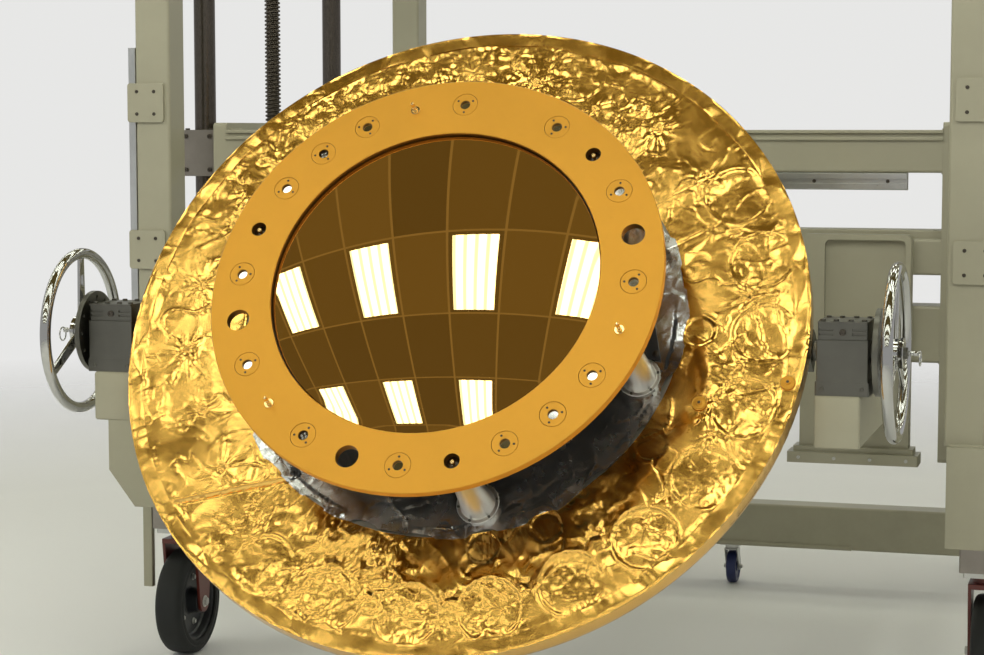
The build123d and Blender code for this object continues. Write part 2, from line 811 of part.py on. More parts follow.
# Slotted rail under the upper beam
rail_y = (front_y[0] + slot_rail_setback, front_y[0] + slot_rail_setback + slot_rail_depth)
rail_low = upper_beam_z[0] - slot_rail_height
slot_rail_x = side_plate_x - slot_rail_short
with BuildPart() as slot_rail:
    bar((-slot_rail_x, slot_rail_x), rail_y, (rail_low, upper_beam_z[0]), plate_corner, "x")
    slot_z = rail_low + slot_rail_height / 2
    with BuildSketch(frontal(0, rail_y[0], slot_z)):
        Rectangle(2 * slot_rail_x, slot_rail_slot)
    extrude(amount=-slot_rail_slot, mode=Mode.SUBTRACT)
save(slot_rail, "slot_rail")

# Side plates with a large window, and end boxes that join the arms to the crosshead
with BuildPart() as side_plates:
    bar((side_plate_x, side_plate_outer), crosshead_y, side_plate_z, side_plate_corner, "x")
    window_long = crosshead_length - 2 * window_end_margin
    window_z = (side_plate_z[0] + window_low_margin, side_plate_z[1] - window_high_margin)
    with BuildSketch(across(side_plate_x, screw_y, (window_z[0] + window_z[1]) / 2)):
        RectangleRounded(window_long, window_z[1] - window_z[0], window_corner)
    extrude(amount=side_plate_thick, mode=Mode.SUBTRACT)
    mirror(about=Plane.YZ)
save(side_plates, "side_plates")

end_box_y = (crosshead_y[0] - end_box_depth, crosshead_y[0])
with BuildPart() as end_boxes:
    bar(end_box_x, end_box_y, end_box_z, end_box_corner, "y")
    recess_x = (end_box_x[0] + end_recess_margin, end_box_x[1] - end_box_corner)
    recess_z = (trunnion_z - end_recess_drop, end_box_z[1] - end_box_corner)
    recess_middle = (recess_x[0] + recess_x[1]) / 2, (recess_z[0] + recess_z[1]) / 2
    with BuildSketch(frontal(recess_middle[0], end_box_y[0], recess_middle[1])):
        RectangleRounded(recess_x[1] - recess_x[0], recess_z[1] - recess_z[0], end_box_corner)
    extrude(amount=-end_recess_depth, mode=Mode.SUBTRACT)
    for step, reach in enumerate(end_flange_reaches):
        flange_x = (end_box_x[0] - reach, end_box_x[1] + reach)
        flange_low = end_box_z[0] + step * end_flange_step
        flange_z = (flange_low, flange_low + end_flange_thick)
        bar(flange_x, (end_box_y[0] - reach, end_box_y[1]), flange_z, block_corner, "z")
    mirror(about=Plane.YZ)
save(end_boxes, "end_boxes")

# Guide blocks and screw nuts on the side plates' outer faces
block_span_x = (side_plate_outer, side_plate_outer + 2 * guide_block_half)
with BuildPart() as guide_blocks:
    for guide_y in guide_ys:
        for high_z in (upper_beam_z[1], lower_beam_z[0] + guide_block_height):
            depth_y = (guide_y - guide_block_depth / 2, guide_y + guide_block_depth / 2)
            bar(block_span_x, depth_y, (high_z - guide_block_height, high_z), block_corner, "z")
        with BuildSketch(level(tower_x, guide_y, lower_beam_z[0])):
            Circle(guide_r + guide_clearance)
        extrude(amount=upper_beam_z[1] - lower_beam_z[0], mode=Mode.SUBTRACT)
    mirror(about=Plane.YZ)
save(guide_blocks, "guide_blocks")

with BuildPart() as screw_nuts:
    nut_y = (screw_y - nut_block_depth / 2, screw_y + nut_block_depth / 2)
    bar(block_span_x, nut_y, nut_block_z, block_corner, "z")
    with BuildSketch(level(tower_x, screw_y, nut_block_z[0])):
        Circle(screw_r + guide_clearance)
    extrude(amount=nut_block_height, mode=Mode.SUBTRACT)
    mirror(about=Plane.YZ)
save(screw_nuts, "screw_nuts")

# Side rails of the base: deep boxes whose lower outer edge is cut off at a slant
with BuildPart() as side_rails:
    with BuildSketch(frontal(0, rail_ys[0], 0)):
        with BuildLine():
            Polyline(
                (rail_x[0], rail_z[0]),
                (rail_x[1] - rail_cut_width, rail_z[0]),
                (rail_x[1], rail_z[0] + rail_cut_height),
                (rail_x[1], rail_z[1]),
                (rail_x[0], rail_z[1]),
                close=True,
            )
        make_face()
    extrude(amount=rail_ys[0] - rail_ys[1])
    mirror(about=Plane.YZ)
save(side_rails, "side_rails")

# Tower posts, guides and lead screws, all standing on the side rails
with BuildPart() as tower_posts:
    for post_y in post_ys:
        post_y_span = (post_y - post_size / 2, post_y + post_size / 2)
        bar(post_x, post_y_span, (rail_z[1], tower_top_z), beam_corner, "z")
    clamp_holes(post_front, clamp_hole_depth - clamp_thick)
    mirror(about=Plane.YZ)
save(tower_posts, "tower_posts")

with BuildPart() as guide_rods:
    for guide_y in guide_ys:
        with BuildSketch(level(tower_x, guide_y, rail_z[1])):
            Circle(guide_r)
        extrude(amount=tower_top_z - rail_z[1])
    mirror(about=Plane.YZ)
save(guide_rods, "guide_rods")

with BuildPart() as lead_screws:
    with BuildSketch(level(tower_x, screw_y, rail_z[1])):
        Circle(screw_r)
    extrude(amount=tower_top_z - rail_z[1])
    mirror(about=Plane.YZ)
save(lead_screws, "lead_screws")

# Tops of the towers: a rail along each side and three ties across
with BuildPart() as top_rails:
    top_x = (tower_x - top_rail_half, tower_x + top_rail_half)
    bar(top_x, (post_front, post_ys[1] + post_size / 2), top_z, beam_corner, "y")
    mirror(about=Plane.YZ)
save(top_rails, "top_rails")

with BuildPart() as top_ties:
    tie_x = (top_rail_half - tower_x, tower_x - top_rail_half)
    for tie_y in (post_ys[0], screw_y, post_ys[1]):
        bar(tie_x, (tie_y - post_size / 2, tie_y + post_size / 2), top_z, beam_corner, "x")
save(top_ties, "top_ties")

# Screw drive on the tops: two gearboxes, a cross shaft and a motor on its foot
gear_x, gear_y, gear_z = gearbox_size
drive_z = top_z[1] + gear_z / 2
with BuildPart() as screw_gearboxes:
    gear_span_x = (tower_x - gear_x / 2, tower_x + gear_x / 2)
    gear_span_y = (screw_y - gear_y / 2, screw_y + gear_y / 2)
    bar(gear_span_x, gear_span_y, (top_z[1], top_z[1] + gear_z), gearbox_corner, "x")
    mirror(about=Plane.YZ)
save(screw_gearboxes, "screw_gearboxes")

with BuildPart() as cross_shafts:
    shaft_half = tower_x - gear_x / 2
    with BuildSketch(across(motor_length / 2, screw_y, drive_z)):
        Circle(cross_shaft_r)
    extrude(amount=shaft_half - motor_length / 2)
    mirror(about=Plane.YZ)
save(cross_shafts, "cross_shafts")

with BuildPart() as drive_motor:
    with BuildSketch(across(-motor_length / 2, screw_y, drive_z)):
        Circle(motor_r)
        with Locations((0, -gear_z / 4)):
            Rectangle(motor_foot_width, gear_z / 2)
    extrude(amount=motor_length)
save(drive_motor, "drive_motor")

# Strips on the near posts' outer faces, and the clamp plates that hold them
with BuildPart() as post_strips:
    strip_z = (rail_z[1], rail_z[1] + strip_length)
    bar(strip_x, (post_front, post_front + strip_depth), strip_z, strip_corner, "z")
    mirror(about=Plane.YZ)
save(post_strips, "post_strips")

with BuildPart() as clamp_plates:
    clamp_y = (post_front - clamp_thick, post_front)
    for clamp_low in clamp_lows:
        bar(clamp_x, clamp_y, (clamp_low, clamp_low + clamp_size), clamp_corner, "y")
    clamp_holes(clamp_y[0], clamp_thick)
    mirror(about=Plane.YZ)
save(clamp_plates, "clamp_plates")

# Low cross beam with a round lip and pads under its front edge, and the plates that hang it
low_beam_x = (drop_plate_thick - rail_x[0], rail_x[0] - drop_plate_thick)
with BuildPart() as low_beam:
    bar(low_beam_x, low_beam_ys, low_beam_z, beam_corner, "x")
    with BuildSketch(across(-lip_half_length, low_beam_ys[0], low_beam_z[0] + lip_r)):
        Circle(lip_r)
    extrude(amount=2 * lip_half_length)
save(low_beam, "low_beam")

with BuildPart() as drop_plates:
    drop_x = (rail_x[0] - drop_plate_thick, rail_x[0])
    bar(drop_x, low_beam_ys, (low_beam_z[0], rail_z[1] - drop_plate_short), pad_corner, "x")
    mirror(about=Plane.YZ)
save(drop_plates, "drop_plates")

# Pads between the side rails and the four large castors, and the guard bars beside the front pair
pad_z = (castor_top_z, rail_z[0])
castor_ys = (front_castor_y, rear_castor_y)
pad_half = castor_pad_size / 2
with BuildPart() as castor_pads:
    for castor_y in castor_ys:
        pad_x = (castor_x - pad_half, castor_x + pad_half)
        bar(pad_x, (castor_y - pad_half, castor_y + pad_half), pad_z, pad_corner, "z")
    mirror(about=Plane.YZ)
save(castor_pads, "castor_pads")

with BuildPart() as guard_bars:
    guard_x = (castor_x + pad_half, castor_x + pad_half + guard_width)
    guard_y = (front_castor_y - pad_half, front_castor_y - pad_half + guard_depth)
    bar(guard_x, guard_y, guard_z, plate_corner, "z")
    mirror(about=Plane.YZ)
save(guard_bars, "guard_bars")


def castor_fork(x, pivot_y, trail, plan):
    """Swivel race, crown, two tapering cheeks and the axle of one castor."""
    with BuildPart() as fork:
        with BuildSketch(level(x, pivot_y, plan["crown_z"] + plan["crown"])):
            Circle(plan["race_r"])
        extrude(amount=plan["race"])
        half_gap = plan["gap"] / 2
        reach = half_gap + plan["cheek"]
        crown_half = plan["cheek_top"] / 2
        crown_y = (pivot_y - crown_half, pivot_y + crown_half)
        crown_z_span = (plan["crown_z"], plan["crown_z"] + plan["crown"])
        bar((x - reach, x + reach), crown_y, crown_z_span, fine_corner, "x")
        for start_x in (x - reach, x + half_gap):
            with BuildSketch(across(start_x, pivot_y, 0)):
                with BuildLine():
                    Polyline(
                        (-crown_half, plan["crown_z"] + plan["crown"] / 2),
                        (crown_half, plan["crown_z"] + plan["crown"] / 2),
                        (trail + plan["end_r"], plan["axle_z"]),
                        (trail - plan["end_r"], plan["axle_z"]),
                        close=True,
                    )
                make_face()
                with Locations((trail, plan["axle_z"])):
                    Circle(plan["end_r"])
            extrude(amount=plan["cheek"])
        nut = plan["cheek"]
        with BuildSketch(across(x - reach - nut, pivot_y + trail, plan["axle_z"])):
            Circle(plan["axle_r"])
        extrude(amount=2 * (reach + nut))
    return fork


def castor_rim(x, y):
    """Wheel centre with a rim, a web and a hub that runs on the axle."""
    with BuildPart() as rim_part:
        hub_width = tyre_width + 2 * fork_side_gap - 2 * rim_hub_gap
        steps = (
            (rim_width, tyre_inner_r - seat_gap, tyre_inner_r - rim_wall),
            (rim_web, tyre_inner_r - rim_wall / 2, rim_hub_r / 2),
            (hub_width, rim_hub_r, axle_r + axle_clearance),
        )
        for width, outer, inner in steps:
            with BuildSketch(across(x - width / 2, y, wheel_tyre_r)):
                Circle(outer)
                Circle(inner, mode=Mode.SUBTRACT)
            extrude(amount=width)
    return rim_part


def castor_tyre(x, y):
    """Solid rubber tyre with sloping shoulders."""
    with BuildPart() as tyre_part:
        with BuildSketch(Plane((x, y + origin_y, wheel_tyre_r), x_dir=(1, 0, 0), z_dir=(0, -1, 0))):
            with BuildLine():
                half = tyre_width / 2
                Polyline(
                    (-rim_width / 2, tyre_inner_r),
                    (rim_width / 2, tyre_inner_r),
                    (half, tyre_inner_r + tyre_shoulder / 2),
                    (half, wheel_tyre_r - tyre_shoulder),
                    (half - tyre_shoulder, wheel_tyre_r),
                    (tyre_shoulder - half, wheel_tyre_r),
                    (-half, wheel_tyre_r - tyre_shoulder),
                    (-half, tyre_inner_r + tyre_shoulder / 2),
                    close=True,
                )
            make_face()
        revolve(axis=Axis((x, y + origin_y, wheel_tyre_r), (1, 0, 0)))
    return tyre_part


large_plan = {
    "crown_z": crown_z,
    "crown": crown_thick,
    "race": race_height,
    "race_r": race_r,
    "gap": tyre_width + 2 * fork_side_gap,
    "cheek": fork_plate,
    "cheek_top": fork_top_width,
    "end_r": fork_end_r,
    "axle_z": wheel_tyre_r,
    "axle_r": axle_r,
}
small_plan = {
    "crown_z": aux_crown_z,
    "crown": aux_crown_thick,
    "race": aux_race_height,
    "race_r": aux_race_r,
    "gap": aux_wheel_width + 2 * aux_fork_side_gap,
    "cheek": aux_fork_plate,
    "cheek_top": aux_fork_top,
    "end_r": aux_fork_end_r,
    "axle_z": aux_wheel_r,
    "axle_r": aux_axle_r,
}

# Top plates of all six castors
with BuildPart() as castor_plates:
    plate_places = (
        (castor_x, front_castor_y, castor_top_z, castor_plate_thick, castor_plate_size / 2),
        (castor_x, rear_castor_y, castor_top_z, castor_plate_thick, castor_plate_size / 2),
        (aux_x, aux_y, low_beam_z[0], aux_plate_thick, aux_plate_size / 2),
    )
    for x, y, top, thick, half in plate_places:
        plate_y = (y - half, y + half)
        bar((x - half, x + half), plate_y, (top - thick, top), castor_plate_corner, "z")
    mirror(about=Plane.YZ)
save(castor_plates, "castor_plates")

# Large castors: the front pair is fixed, the rear pair swivels
sides = (("left", -1), ("right", 1))
fork_left = castor_fork(-castor_x, front_castor_y, 0, large_plan)
fork_right = castor_fork(castor_x, front_castor_y, 0, large_plan)
with BuildPart() as front_forks:
    add(fork_left.part)
    add(fork_right.part)
save(front_forks, "front_forks")

for side_name, side in sides:
    rear_axle_y = rear_castor_y + rear_trail
    save(castor_fork(side * castor_x, rear_castor_y, rear_trail, large_plan), f"rear_fork_{side_name}")
    for end_name, axle_y in (("front", front_castor_y), ("rear", rear_axle_y)):
        save(castor_rim(side * castor_x, axle_y), f"{end_name}_rim_{side_name}")
        save(castor_tyre(side * castor_x, axle_y), f"{end_name}_tyre_{side_name}")

# Small castors under the low beam
for side_name, side in sides:
    save(castor_fork(side * aux_x, aux_y, aux_trail, small_plan), f"small_fork_{side_name}")
    with BuildPart() as small_wheel:
        with BuildSketch(across(side * aux_x - aux_wheel_width / 2, aux_y + aux_trail, aux_wheel_r)):
            Circle(aux_wheel_r)
            Circle(aux_axle_r + axle_clearance, mode=Mode.SUBTRACT)
        extrude(amount=aux_wheel_width)
        tread = small_wheel.edges().filter_by(GeomType.CIRCLE).filter_by(
            lambda e: e.radius > aux_wheel_r / 2
        )
        fillet(tread, aux_wheel_width / 5)
    save(small_wheel, f"small_wheel_{side_name}")
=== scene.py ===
import json
import math
from itertools import product

import bmesh
import bpy
import numpy as np
from mathutils import Matrix, Vector
from mathutils.bvhtree import BVHTree
from mathutils.geometry import delaunay_2d_cdt


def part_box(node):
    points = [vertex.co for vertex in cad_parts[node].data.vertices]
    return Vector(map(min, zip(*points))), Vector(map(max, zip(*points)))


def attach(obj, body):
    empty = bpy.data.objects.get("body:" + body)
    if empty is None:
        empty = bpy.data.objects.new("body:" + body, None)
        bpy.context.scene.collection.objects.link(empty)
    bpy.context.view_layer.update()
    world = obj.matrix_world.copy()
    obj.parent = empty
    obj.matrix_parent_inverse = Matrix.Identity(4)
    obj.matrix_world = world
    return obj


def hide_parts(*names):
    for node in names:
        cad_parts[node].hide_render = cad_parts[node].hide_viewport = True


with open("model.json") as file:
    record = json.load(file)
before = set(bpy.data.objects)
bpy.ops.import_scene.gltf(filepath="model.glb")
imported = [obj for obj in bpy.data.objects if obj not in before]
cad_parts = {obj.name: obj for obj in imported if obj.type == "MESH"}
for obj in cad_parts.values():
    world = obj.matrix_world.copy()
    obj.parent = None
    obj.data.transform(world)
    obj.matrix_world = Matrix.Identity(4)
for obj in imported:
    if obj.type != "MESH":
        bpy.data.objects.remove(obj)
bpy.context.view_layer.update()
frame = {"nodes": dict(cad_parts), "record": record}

bl_info = {
    "name": "Satellite mirror unit on its turnover stand",
    "version": (1, 0, 0),
    "blender": (4, 5, 0),
    "location": "3D View > Sidebar > Mirror Unit",
    "description": "Dresses the packed mirror unit and stand with foil, hardware and finishes",
    "category": "Object",
}

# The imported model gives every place: lengths are metres, X along the trunnions and Z up
NODES = frame["nodes"]
RECORD = frame["record"]
BODY_OF = {node: body for body, nodes in RECORD["behaviour"]["bodies"].items() for node in nodes}

# The mirror unit's own frame: across, up its face and forward from the trunnion axis
PIVOT = sum(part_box("index_discs"), Vector()) / 2
PIN_MOUNT = next(mount for mount in RECORD["mounts"] if mount["name"] == "guide_pins")
FORWARD = Vector(PIN_MOUNT["axis"]).normalized()
SIDEWAYS = Vector((1, 0, 0))
TURNED = Matrix((SIDEWAYS, FORWARD.cross(SIDEWAYS), FORWARD)).transposed()
UNIT = Matrix.Translation(PIVOT) @ TURNED.to_4x4()

# Places on the mirror unit: radii from its middle, levels over the axis, angles in degrees
STATION_R = 0.45
POCKET_STEP, POCKET_R, DISH_R, TIE_R, NEAR_TIE_R = 15.0, 0.70, 0.556, 0.66, 0.626
RING_LEVEL = 0.3025
ADJUSTER_LEVEL = RING_LEVEL - 0.020
SHIELD_LEVEL = 0.080
FOIL_LOW = 0.0722
MIRROR_BEVEL_R = 0.3712
RING_HOLE_R, RING_RIM_R = 0.36, 0.512
TARGETS = (-150, -120, -90, -60, -45, -30, 0, 30, 60, 90, 120, 135, 150, 180)
OPEN_TARGETS = (-120, 135)
PINS = (-135, -15, 105)
ADJUSTERS = (-75, 45, 165)
LEGS = tuple(range(-15, 300, 60))
BRACKETS = (-3.5, 116.5, 236.5)
LEG_FOOT, LEG_TOP = 0.072, 0.2825
GOLD_TIES = ((0.603, -17), (0.774, -9))
SILVER_TIE = (0.503, -130)

# Sizes of the stand's sections and how far a screw head sinks into its face
POST_WIDTH = 0.100
BEAM_DEPTH = 0.120
BEAM_SHELF = 1.390
SINK = 0.0002
OUTWARD, UPRIGHT = (1.0, 0.0, 0.0), (0.0, 0.0, 1.0)
FRONTWARD, BACKWARD = (0.0, -1.0, 0.0), (0.0, 1.0, 0.0)


# Values that a user would change


def length(label, purpose, default, low=0.0, high=5.0):
    """A length setting in metres."""
    return bpy.props.FloatProperty(
        name=label, description=purpose, default=default, min=low, max=high,
        unit="LENGTH", precision=4,
    )


def colour(label, purpose, default):
    """A colour setting."""
    return bpy.props.FloatVectorProperty(
        name=label, description=purpose, default=default, size=3, min=0, max=1, subtype="COLOR"
    )


class UnitSizes(bpy.types.PropertyGroup):
    """Sizes of the mirror unit's foil, mirror and small hardware"""

    mirror_curve: length("Mirror curve", "Radius of the mirror's dome", 1.97, 0.8, 5.0)
    mirror_edge: length("Mirror edge", "Radius of the mirror's rim", 0.372)
    gold_inner: length("Gold foil inside", "Inner radius of the gold foil", 0.5203)
    gold_outer: length("Gold foil outside", "Outer radius of the gold foil", 0.797)
    gold_step: length("Foil mesh step", "Distance between the foil's mesh rings", 0.0041)
    broad_fold: length("Broad folds", "Height of the foil's widest swells", 0.0030)
    flat_fold: length("Flat facets", "Height of the foil's flat facets", 0.0042)
    middle_fold: length("Middle folds", "Height of the foil's wandering ridges", 0.0022)
    fine_fold: length("Fine folds", "Height of the foil's fine creases", 0.0010)
    pocket_sag: length("Pocket sag", "Depth of the foil over the round pockets", 0.0040)
    tie_pull: length("Tie pull", "Depth of the foil at its tie points", 0.0050)
    pleat: length("Hem pleat", "Height of the pleats of the hem", 0.0011)
    screw_pitch: length("Thread pitch", "Pitch of the lead screws' thread", 0.012)
    thread_depth: length("Thread depth", "Depth of the lead screws' thread", 0.0055)


class UnitColours(bpy.types.PropertyGroup):
    """Colours of the finishes"""

    gold_film: colour("Gold film", "Colour of the crinkled gold film", (0.98, 0.58, 0.140))
    silver_film: colour("Silver film", "Colour of the crinkled silver film", (0.80, 0.81, 0.82))
    gold_plate: colour("Gold plate", "Colour of the matt gold ring", (0.745, 0.368, 0.047))
    mirror_gold: colour("Mirror", "Colour of the mirror's gold coat", (0.98, 0.62, 0.26))
    stand_paint: colour("Stand paint", "Colour of the stand's enamel", (0.338, 0.321, 0.230))
    steel: colour("Steel", "Colour of the ground steel", (0.178, 0.174, 0.152))
    dark_steel: colour("Dark steel", "Colour of the oiled rods and screws", (0.115, 0.10, 0.085))
    chrome: colour("Chrome", "Colour of the polished hand wheels", (0.50, 0.50, 0.49))
    rubber: colour("Rubber", "Colour of the tyres", (0.005, 0.006, 0.006))
    fork_red: colour("Fork paint", "Colour of the castors' dark red paint", (0.115, 0.018, 0.012))
    navy: colour("Small wheels", "Colour of the small wheels", (0.012, 0.02, 0.09))
    floor: colour("Floor", "Colour of the studio floor", (0.74, 0.74, 0.73))
    room: colour("Room", "Colour of the studio around the object", (0.80, 0.80, 0.79))


class StageSizes(bpy.types.PropertyGroup):
    """The studio: its lamps and the ceiling that the mirror shows"""

    ceiling_height: length("Ceiling height", "Height of the studio's ceiling", 4.225)
    tile_width: length("Tile width", "Width of a ceiling tile", 0.60)
    tile_length: length("Tile length", "Length of a ceiling tile", 1.20)
    lamp_inset: length("Lamp inset", "Frame round a lamp inside its tile", 0.058)
    floor_start: length(
        "Floor fade start", "Distance at which the floor begins to fade", 3.6, 0, 30
    )
    floor_end: length("Floor fade end", "Distance at which the floor is gone", 9.0, 0, 30)
    lamp_strength: bpy.props.FloatProperty(
        name="Lamp strength", description="Brightness of the ceiling lamps", default=5.6, min=0
    )
    room_strength: bpy.props.FloatProperty(
        name="Room strength", description="Brightness of the studio's walls", default=0.62, min=0
    )


# Shader maths written as Python expressions


class Value:
    """A socket inside a material; operators add the maths nodes."""

    def __init__(self, finish, socket):
        self.finish = finish
        self.socket = socket

    def __add__(self, other):
        return self.finish.maths("ADD", self, other)

    def __radd__(self, other):
        return self.finish.maths("ADD", other, self)

    def __sub__(self, other):
        return self.finish.maths("SUBTRACT", self, other)

    def __mul__(self, other):
        return self.finish.maths("MULTIPLY", self, other)

    def __truediv__(self, other):
        return self.finish.maths("DIVIDE", self, other)

    def __gt__(self, other):
        return self.finish.maths("GREATER_THAN", self, other)

    def __lt__(self, other):
        return self.finish.maths("LESS_THAN", self, other)


class Finish:
    """One procedural material: node() adds any node and wraps its output."""

    def __init__(self, name, colour, **sockets):
        self.material = bpy.data.materials.new(name)
        self.material.use_nodes = True
        self.tree = self.material.node_tree
        self.shader = self.tree.nodes["Principled BSDF"]
        self.colour = colour
        self.set("Base Color", colour)
        for key, value in sockets.items():
            self.set(key, value)
        self.place = self.node("ShaderNodeTexCoord", out="Object")

    def fill(self, socket, value):
        """Link or write one socket."""
        if isinstance(value, Value):
            self.tree.links.new(value.socket, socket)
        elif socket.type == "RGBA":
            socket.default_value = value + (1.0,)
        else:
            socket.default_value = value

    def set(self, name, value):
        self.fill(self.shader.inputs[name], value)

    def look(self, base, rough, normal=None):
        """Set the surface's colour, roughness and normal."""
        self.set("Base Color", base)
        self.set("Roughness", rough)
        if normal:
            self.set("Normal", normal)

    def node(self, kind, settings=None, values=None, out=0):
        """Add a node with its settings and inputs."""
        node = self.tree.nodes.new(kind)
        for key, value in (settings or {}).items():
            setattr(node, key, value)
        for key, value in (values or {}).items():
            self.fill(node.inputs[key], value)
        return Value(self, node.outputs[out])

    def maths(self, operation, *values):
        """One maths node on numbers or values."""
        return self.node("ShaderNodeMath", {"operation": operation}, dict(enumerate(values)))

    def span(self, across, along):
        """Length of a flat vector."""
        return self.maths("SQRT", across * across + along * along)

    def stretched(self, scale):
        """Object coordinates scaled."""
        return self.node("ShaderNodeMapping", None, {"Vector": self.place, "Scale": scale})

    def in_unit(self):
        """Radius and level in the mirror unit's frame."""
        turn = tuple(UNIT.to_euler())
        values = {"Vector": self.place, "Location": tuple(PIVOT), "Rotation": turn}
        local = self.node("ShaderNodeMapping", {"vector_type": "TEXTURE"}, values)
        across, up, level = self.split(local)
        return self.span(across, up), level

    def split(self, vector):
        """X, Y and Z of a vector."""
        node = self.tree.nodes.new("ShaderNodeSeparateXYZ")
        self.fill(node.inputs[0], vector)
        return [Value(self, o) for o in node.outputs]

    def noise(self, scale, detail=3.0, roughness=0.5, vector=None):
        values = {"Vector": vector or self.place, "Scale": scale}
        values.update({"Detail": detail, "Roughness": roughness})
        return self.node("ShaderNodeTexNoise", None, values)

    def ramp(self, value, low, high, start=0.0, end=1.0):
        """Value mapped from low..high to start..end and clamped."""
        values = {"Value": value, "From Min": low, "From Max": high}
        values.update({"To Min": start, "To Max": end})
        return self.node("ShaderNodeMapRange", {"clamp": True}, values)

    def mix(self, mask, first, second, blend="MIX"):
        """Colour that goes from the first to the second as the mask goes from 0 to 1."""
        settings = {"data_type": "RGBA", "blend_type": blend}
        return self.node("ShaderNodeMix", settings, {0: mask, 6: first, 7: second}, 2)

    def shade(self, factor, colour=None):
        """The finish's colour made lighter or darker by a factor."""
        grey = self.node("ShaderNodeCombineColor", None, {0: factor, 1: factor, 2: factor})
        return self.mix(1.0, colour or self.colour, grey, "MULTIPLY")

    def bump(self, height, distance, strength=1.0, edge=0.0):
        """Normal with a height in it and, where an edge is given, rounded edges."""
        values = {"Height": height, "Distance": distance, "Strength": strength}
        if edge:
            values["Normal"] = self.node("ShaderNodeBevel", {"samples": 4}, {"Radius": edge})
        return self.node("ShaderNodeBump", None, values)


def tinted(colour, factor):
    return tuple(min(1.0, c * factor) for c in colour)


# Finishes


def paint_finish(name, colour, rough=0.42):
    """Sprayed enamel with orange peel, faint clouds, rubbed places and dust low down."""
    finish = Finish(name, colour, IOR=1.5)
    cloud = finish.noise(2.2, 4, 0.6)
    rub = finish.ramp(finish.noise(7, 6, 0.7), 0.52, 0.74)
    height = finish.split(finish.place)[2]
    low = finish.ramp(height, 0.55, 0.05) * finish.ramp(finish.noise(11, 5, 0.65), 0.35, 0.7)
    tone = finish.shade(finish.ramp(cloud, 0.25, 0.75, 0.94, 1.05))
    dusty = finish.mix(low * 0.25, tone, tinted(colour, 0.45))
    finish.look(
        finish.mix(rub * 0.18, dusty, tinted(colour, 1.25)),
        finish.ramp(cloud, 0.2, 0.8, rough - 0.06, rough + 0.08) + rub * 0.1,
        finish.bump(finish.noise(420, 2, 0.4), 0.00012, 0.5, 0.0015),
    )
    finish.set("Coat Weight", 0.15)
    return finish


def metal_finish(name, colour, rough, grain):
    """Metal with fine tool marks drawn out along one way, and faint stains."""
    finish = Finish(name, colour, Metallic=1.0)
    lines = finish.noise(18, 3, 0.6, finish.stretched(grain))
    finish.look(
        finish.shade(finish.ramp(finish.noise(9, 4, 0.6), 0.25, 0.75, 0.84, 1.04)),
        finish.ramp(lines, 0.2, 0.8, rough - 0.05, rough + 0.09),
        finish.bump(lines, 0.00004, 0.6, 0.0012),
    )
    return finish


def polished_finish(name, colour, rough):
    """Polished metal with the faint haze of wiping."""
    finish = Finish(name, colour, Metallic=1.0)
    haze = finish.noise(14, 5, 0.65)
    finish.set("Roughness", finish.ramp(haze, 0.35, 0.75, rough, rough + 0.07))
    return finish


def foil_finish(name, colour, rough, fine, crease_shade_tone):
    """Crinkled film: bright metal, with small creases between the folds of the mesh, and painted
    shade darkening the creases' colour.
    """
    finish = Finish(name, colour, Metallic=1.0)
    spread = finish.noise(13, 3, 0.6)
    noise = {"Vector": finish.place, "Scale": 30.0}
    drift = finish.node("ShaderNodeTexNoise", None, noise, "Color")
    moved = {0: drift, 1: (0.02, 0.02, 0.02), 2: finish.place}
    warped = finish.node("ShaderNodeVectorMath", {"operation": "MULTIPLY_ADD"}, moved)
    crest = finish.maths("ABSOLUTE", finish.noise(92, 2, 0.5, warped) - 0.5)
    hair = finish.maths("ABSOLUTE", finish.noise(240, 1, 0.5, warped) - 0.5)
    patch = finish.ramp(finish.noise(9, 2), 0.42, 0.62)
    # Painted shade: the colour in the creases is darkened towards a darker tint of the film
    shaded_crease = finish.ramp(crest, 0.0, 0.02, 1.0, 0.0) * patch
    tone = finish.shade(finish.ramp(spread, 0.3, 0.7, 0.92, 1.0))
    finish.look(
        finish.mix(shaded_crease * 0.4, tone, tinted(colour, crease_shade_tone)),
        finish.ramp(spread, 0.3, 0.7, rough, rough + 0.14),
        finish.bump((crest + hair * 0.25) * (0.06 + patch * 0.9), fine),
    )
    return finish


def mirror_finish(name, colour):
    """Gold-coated mirror glass with a few specks of dust and a dark bevel."""
    finish = Finish(name, colour, Metallic=1.0)
    cells = finish.node("ShaderNodeTexVoronoi", None, {"Vector": finish.place, "Scale": 95})
    specks = finish.ramp(cells, 0.0, 0.035, 1.0, 0.0)
    picked = specks * finish.ramp(finish.noise(40, 1), 0.55, 0.6)
    edge = finish.in_unit()[0] > MIRROR_BEVEL_R
    coat = finish.mix(picked * 0.35, colour, (0.9, 0.8, 0.6))
    finish.look(finish.mix(edge, coat, (0.03, 0.025, 0.02)), 0.012 + picked * 0.2 + edge * 0.4)
    return finish


def ring_finish(name, colour):
    """Matt gold conversion coat on a fine machined face, with painted shade on the walls inside the
    ring's holes.
    """
    finish = Finish(name, colour, Metallic=0.82)
    cloud = finish.noise(5, 5, 0.65)
    radius, level = finish.in_unit()
    # Painted shade: the ring's walls below its face, between its hole and its rim, are darkened as
    # if in shadow
    within = (radius < RING_RIM_R) * (radius > RING_HOLE_R)
    within *= (level < RING_LEVEL - 0.0022) * (level > RING_LEVEL - 0.03)
    tone = finish.shade(finish.ramp(cloud, 0.25, 0.75, 0.94, 1.04))
    wear = finish.ramp(finish.noise(60, 4, 0.7), 0.62, 0.8) * 0.12
    worn = finish.mix(wear, tone, tinted(colour, 0.7))
    finish.look(
        # The dark brown mixed in here is painted shade on the walls inside the ring's holes
        finish.mix(within * 0.8, worn, (0.10, 0.040, 0.010)),
        finish.ramp(cloud, 0.2, 0.8, 0.40, 0.50),
        finish.bump(finish.noise(700, 2, 0.5), 0.00005, 0.5, 0.0012),
    )
    return finish


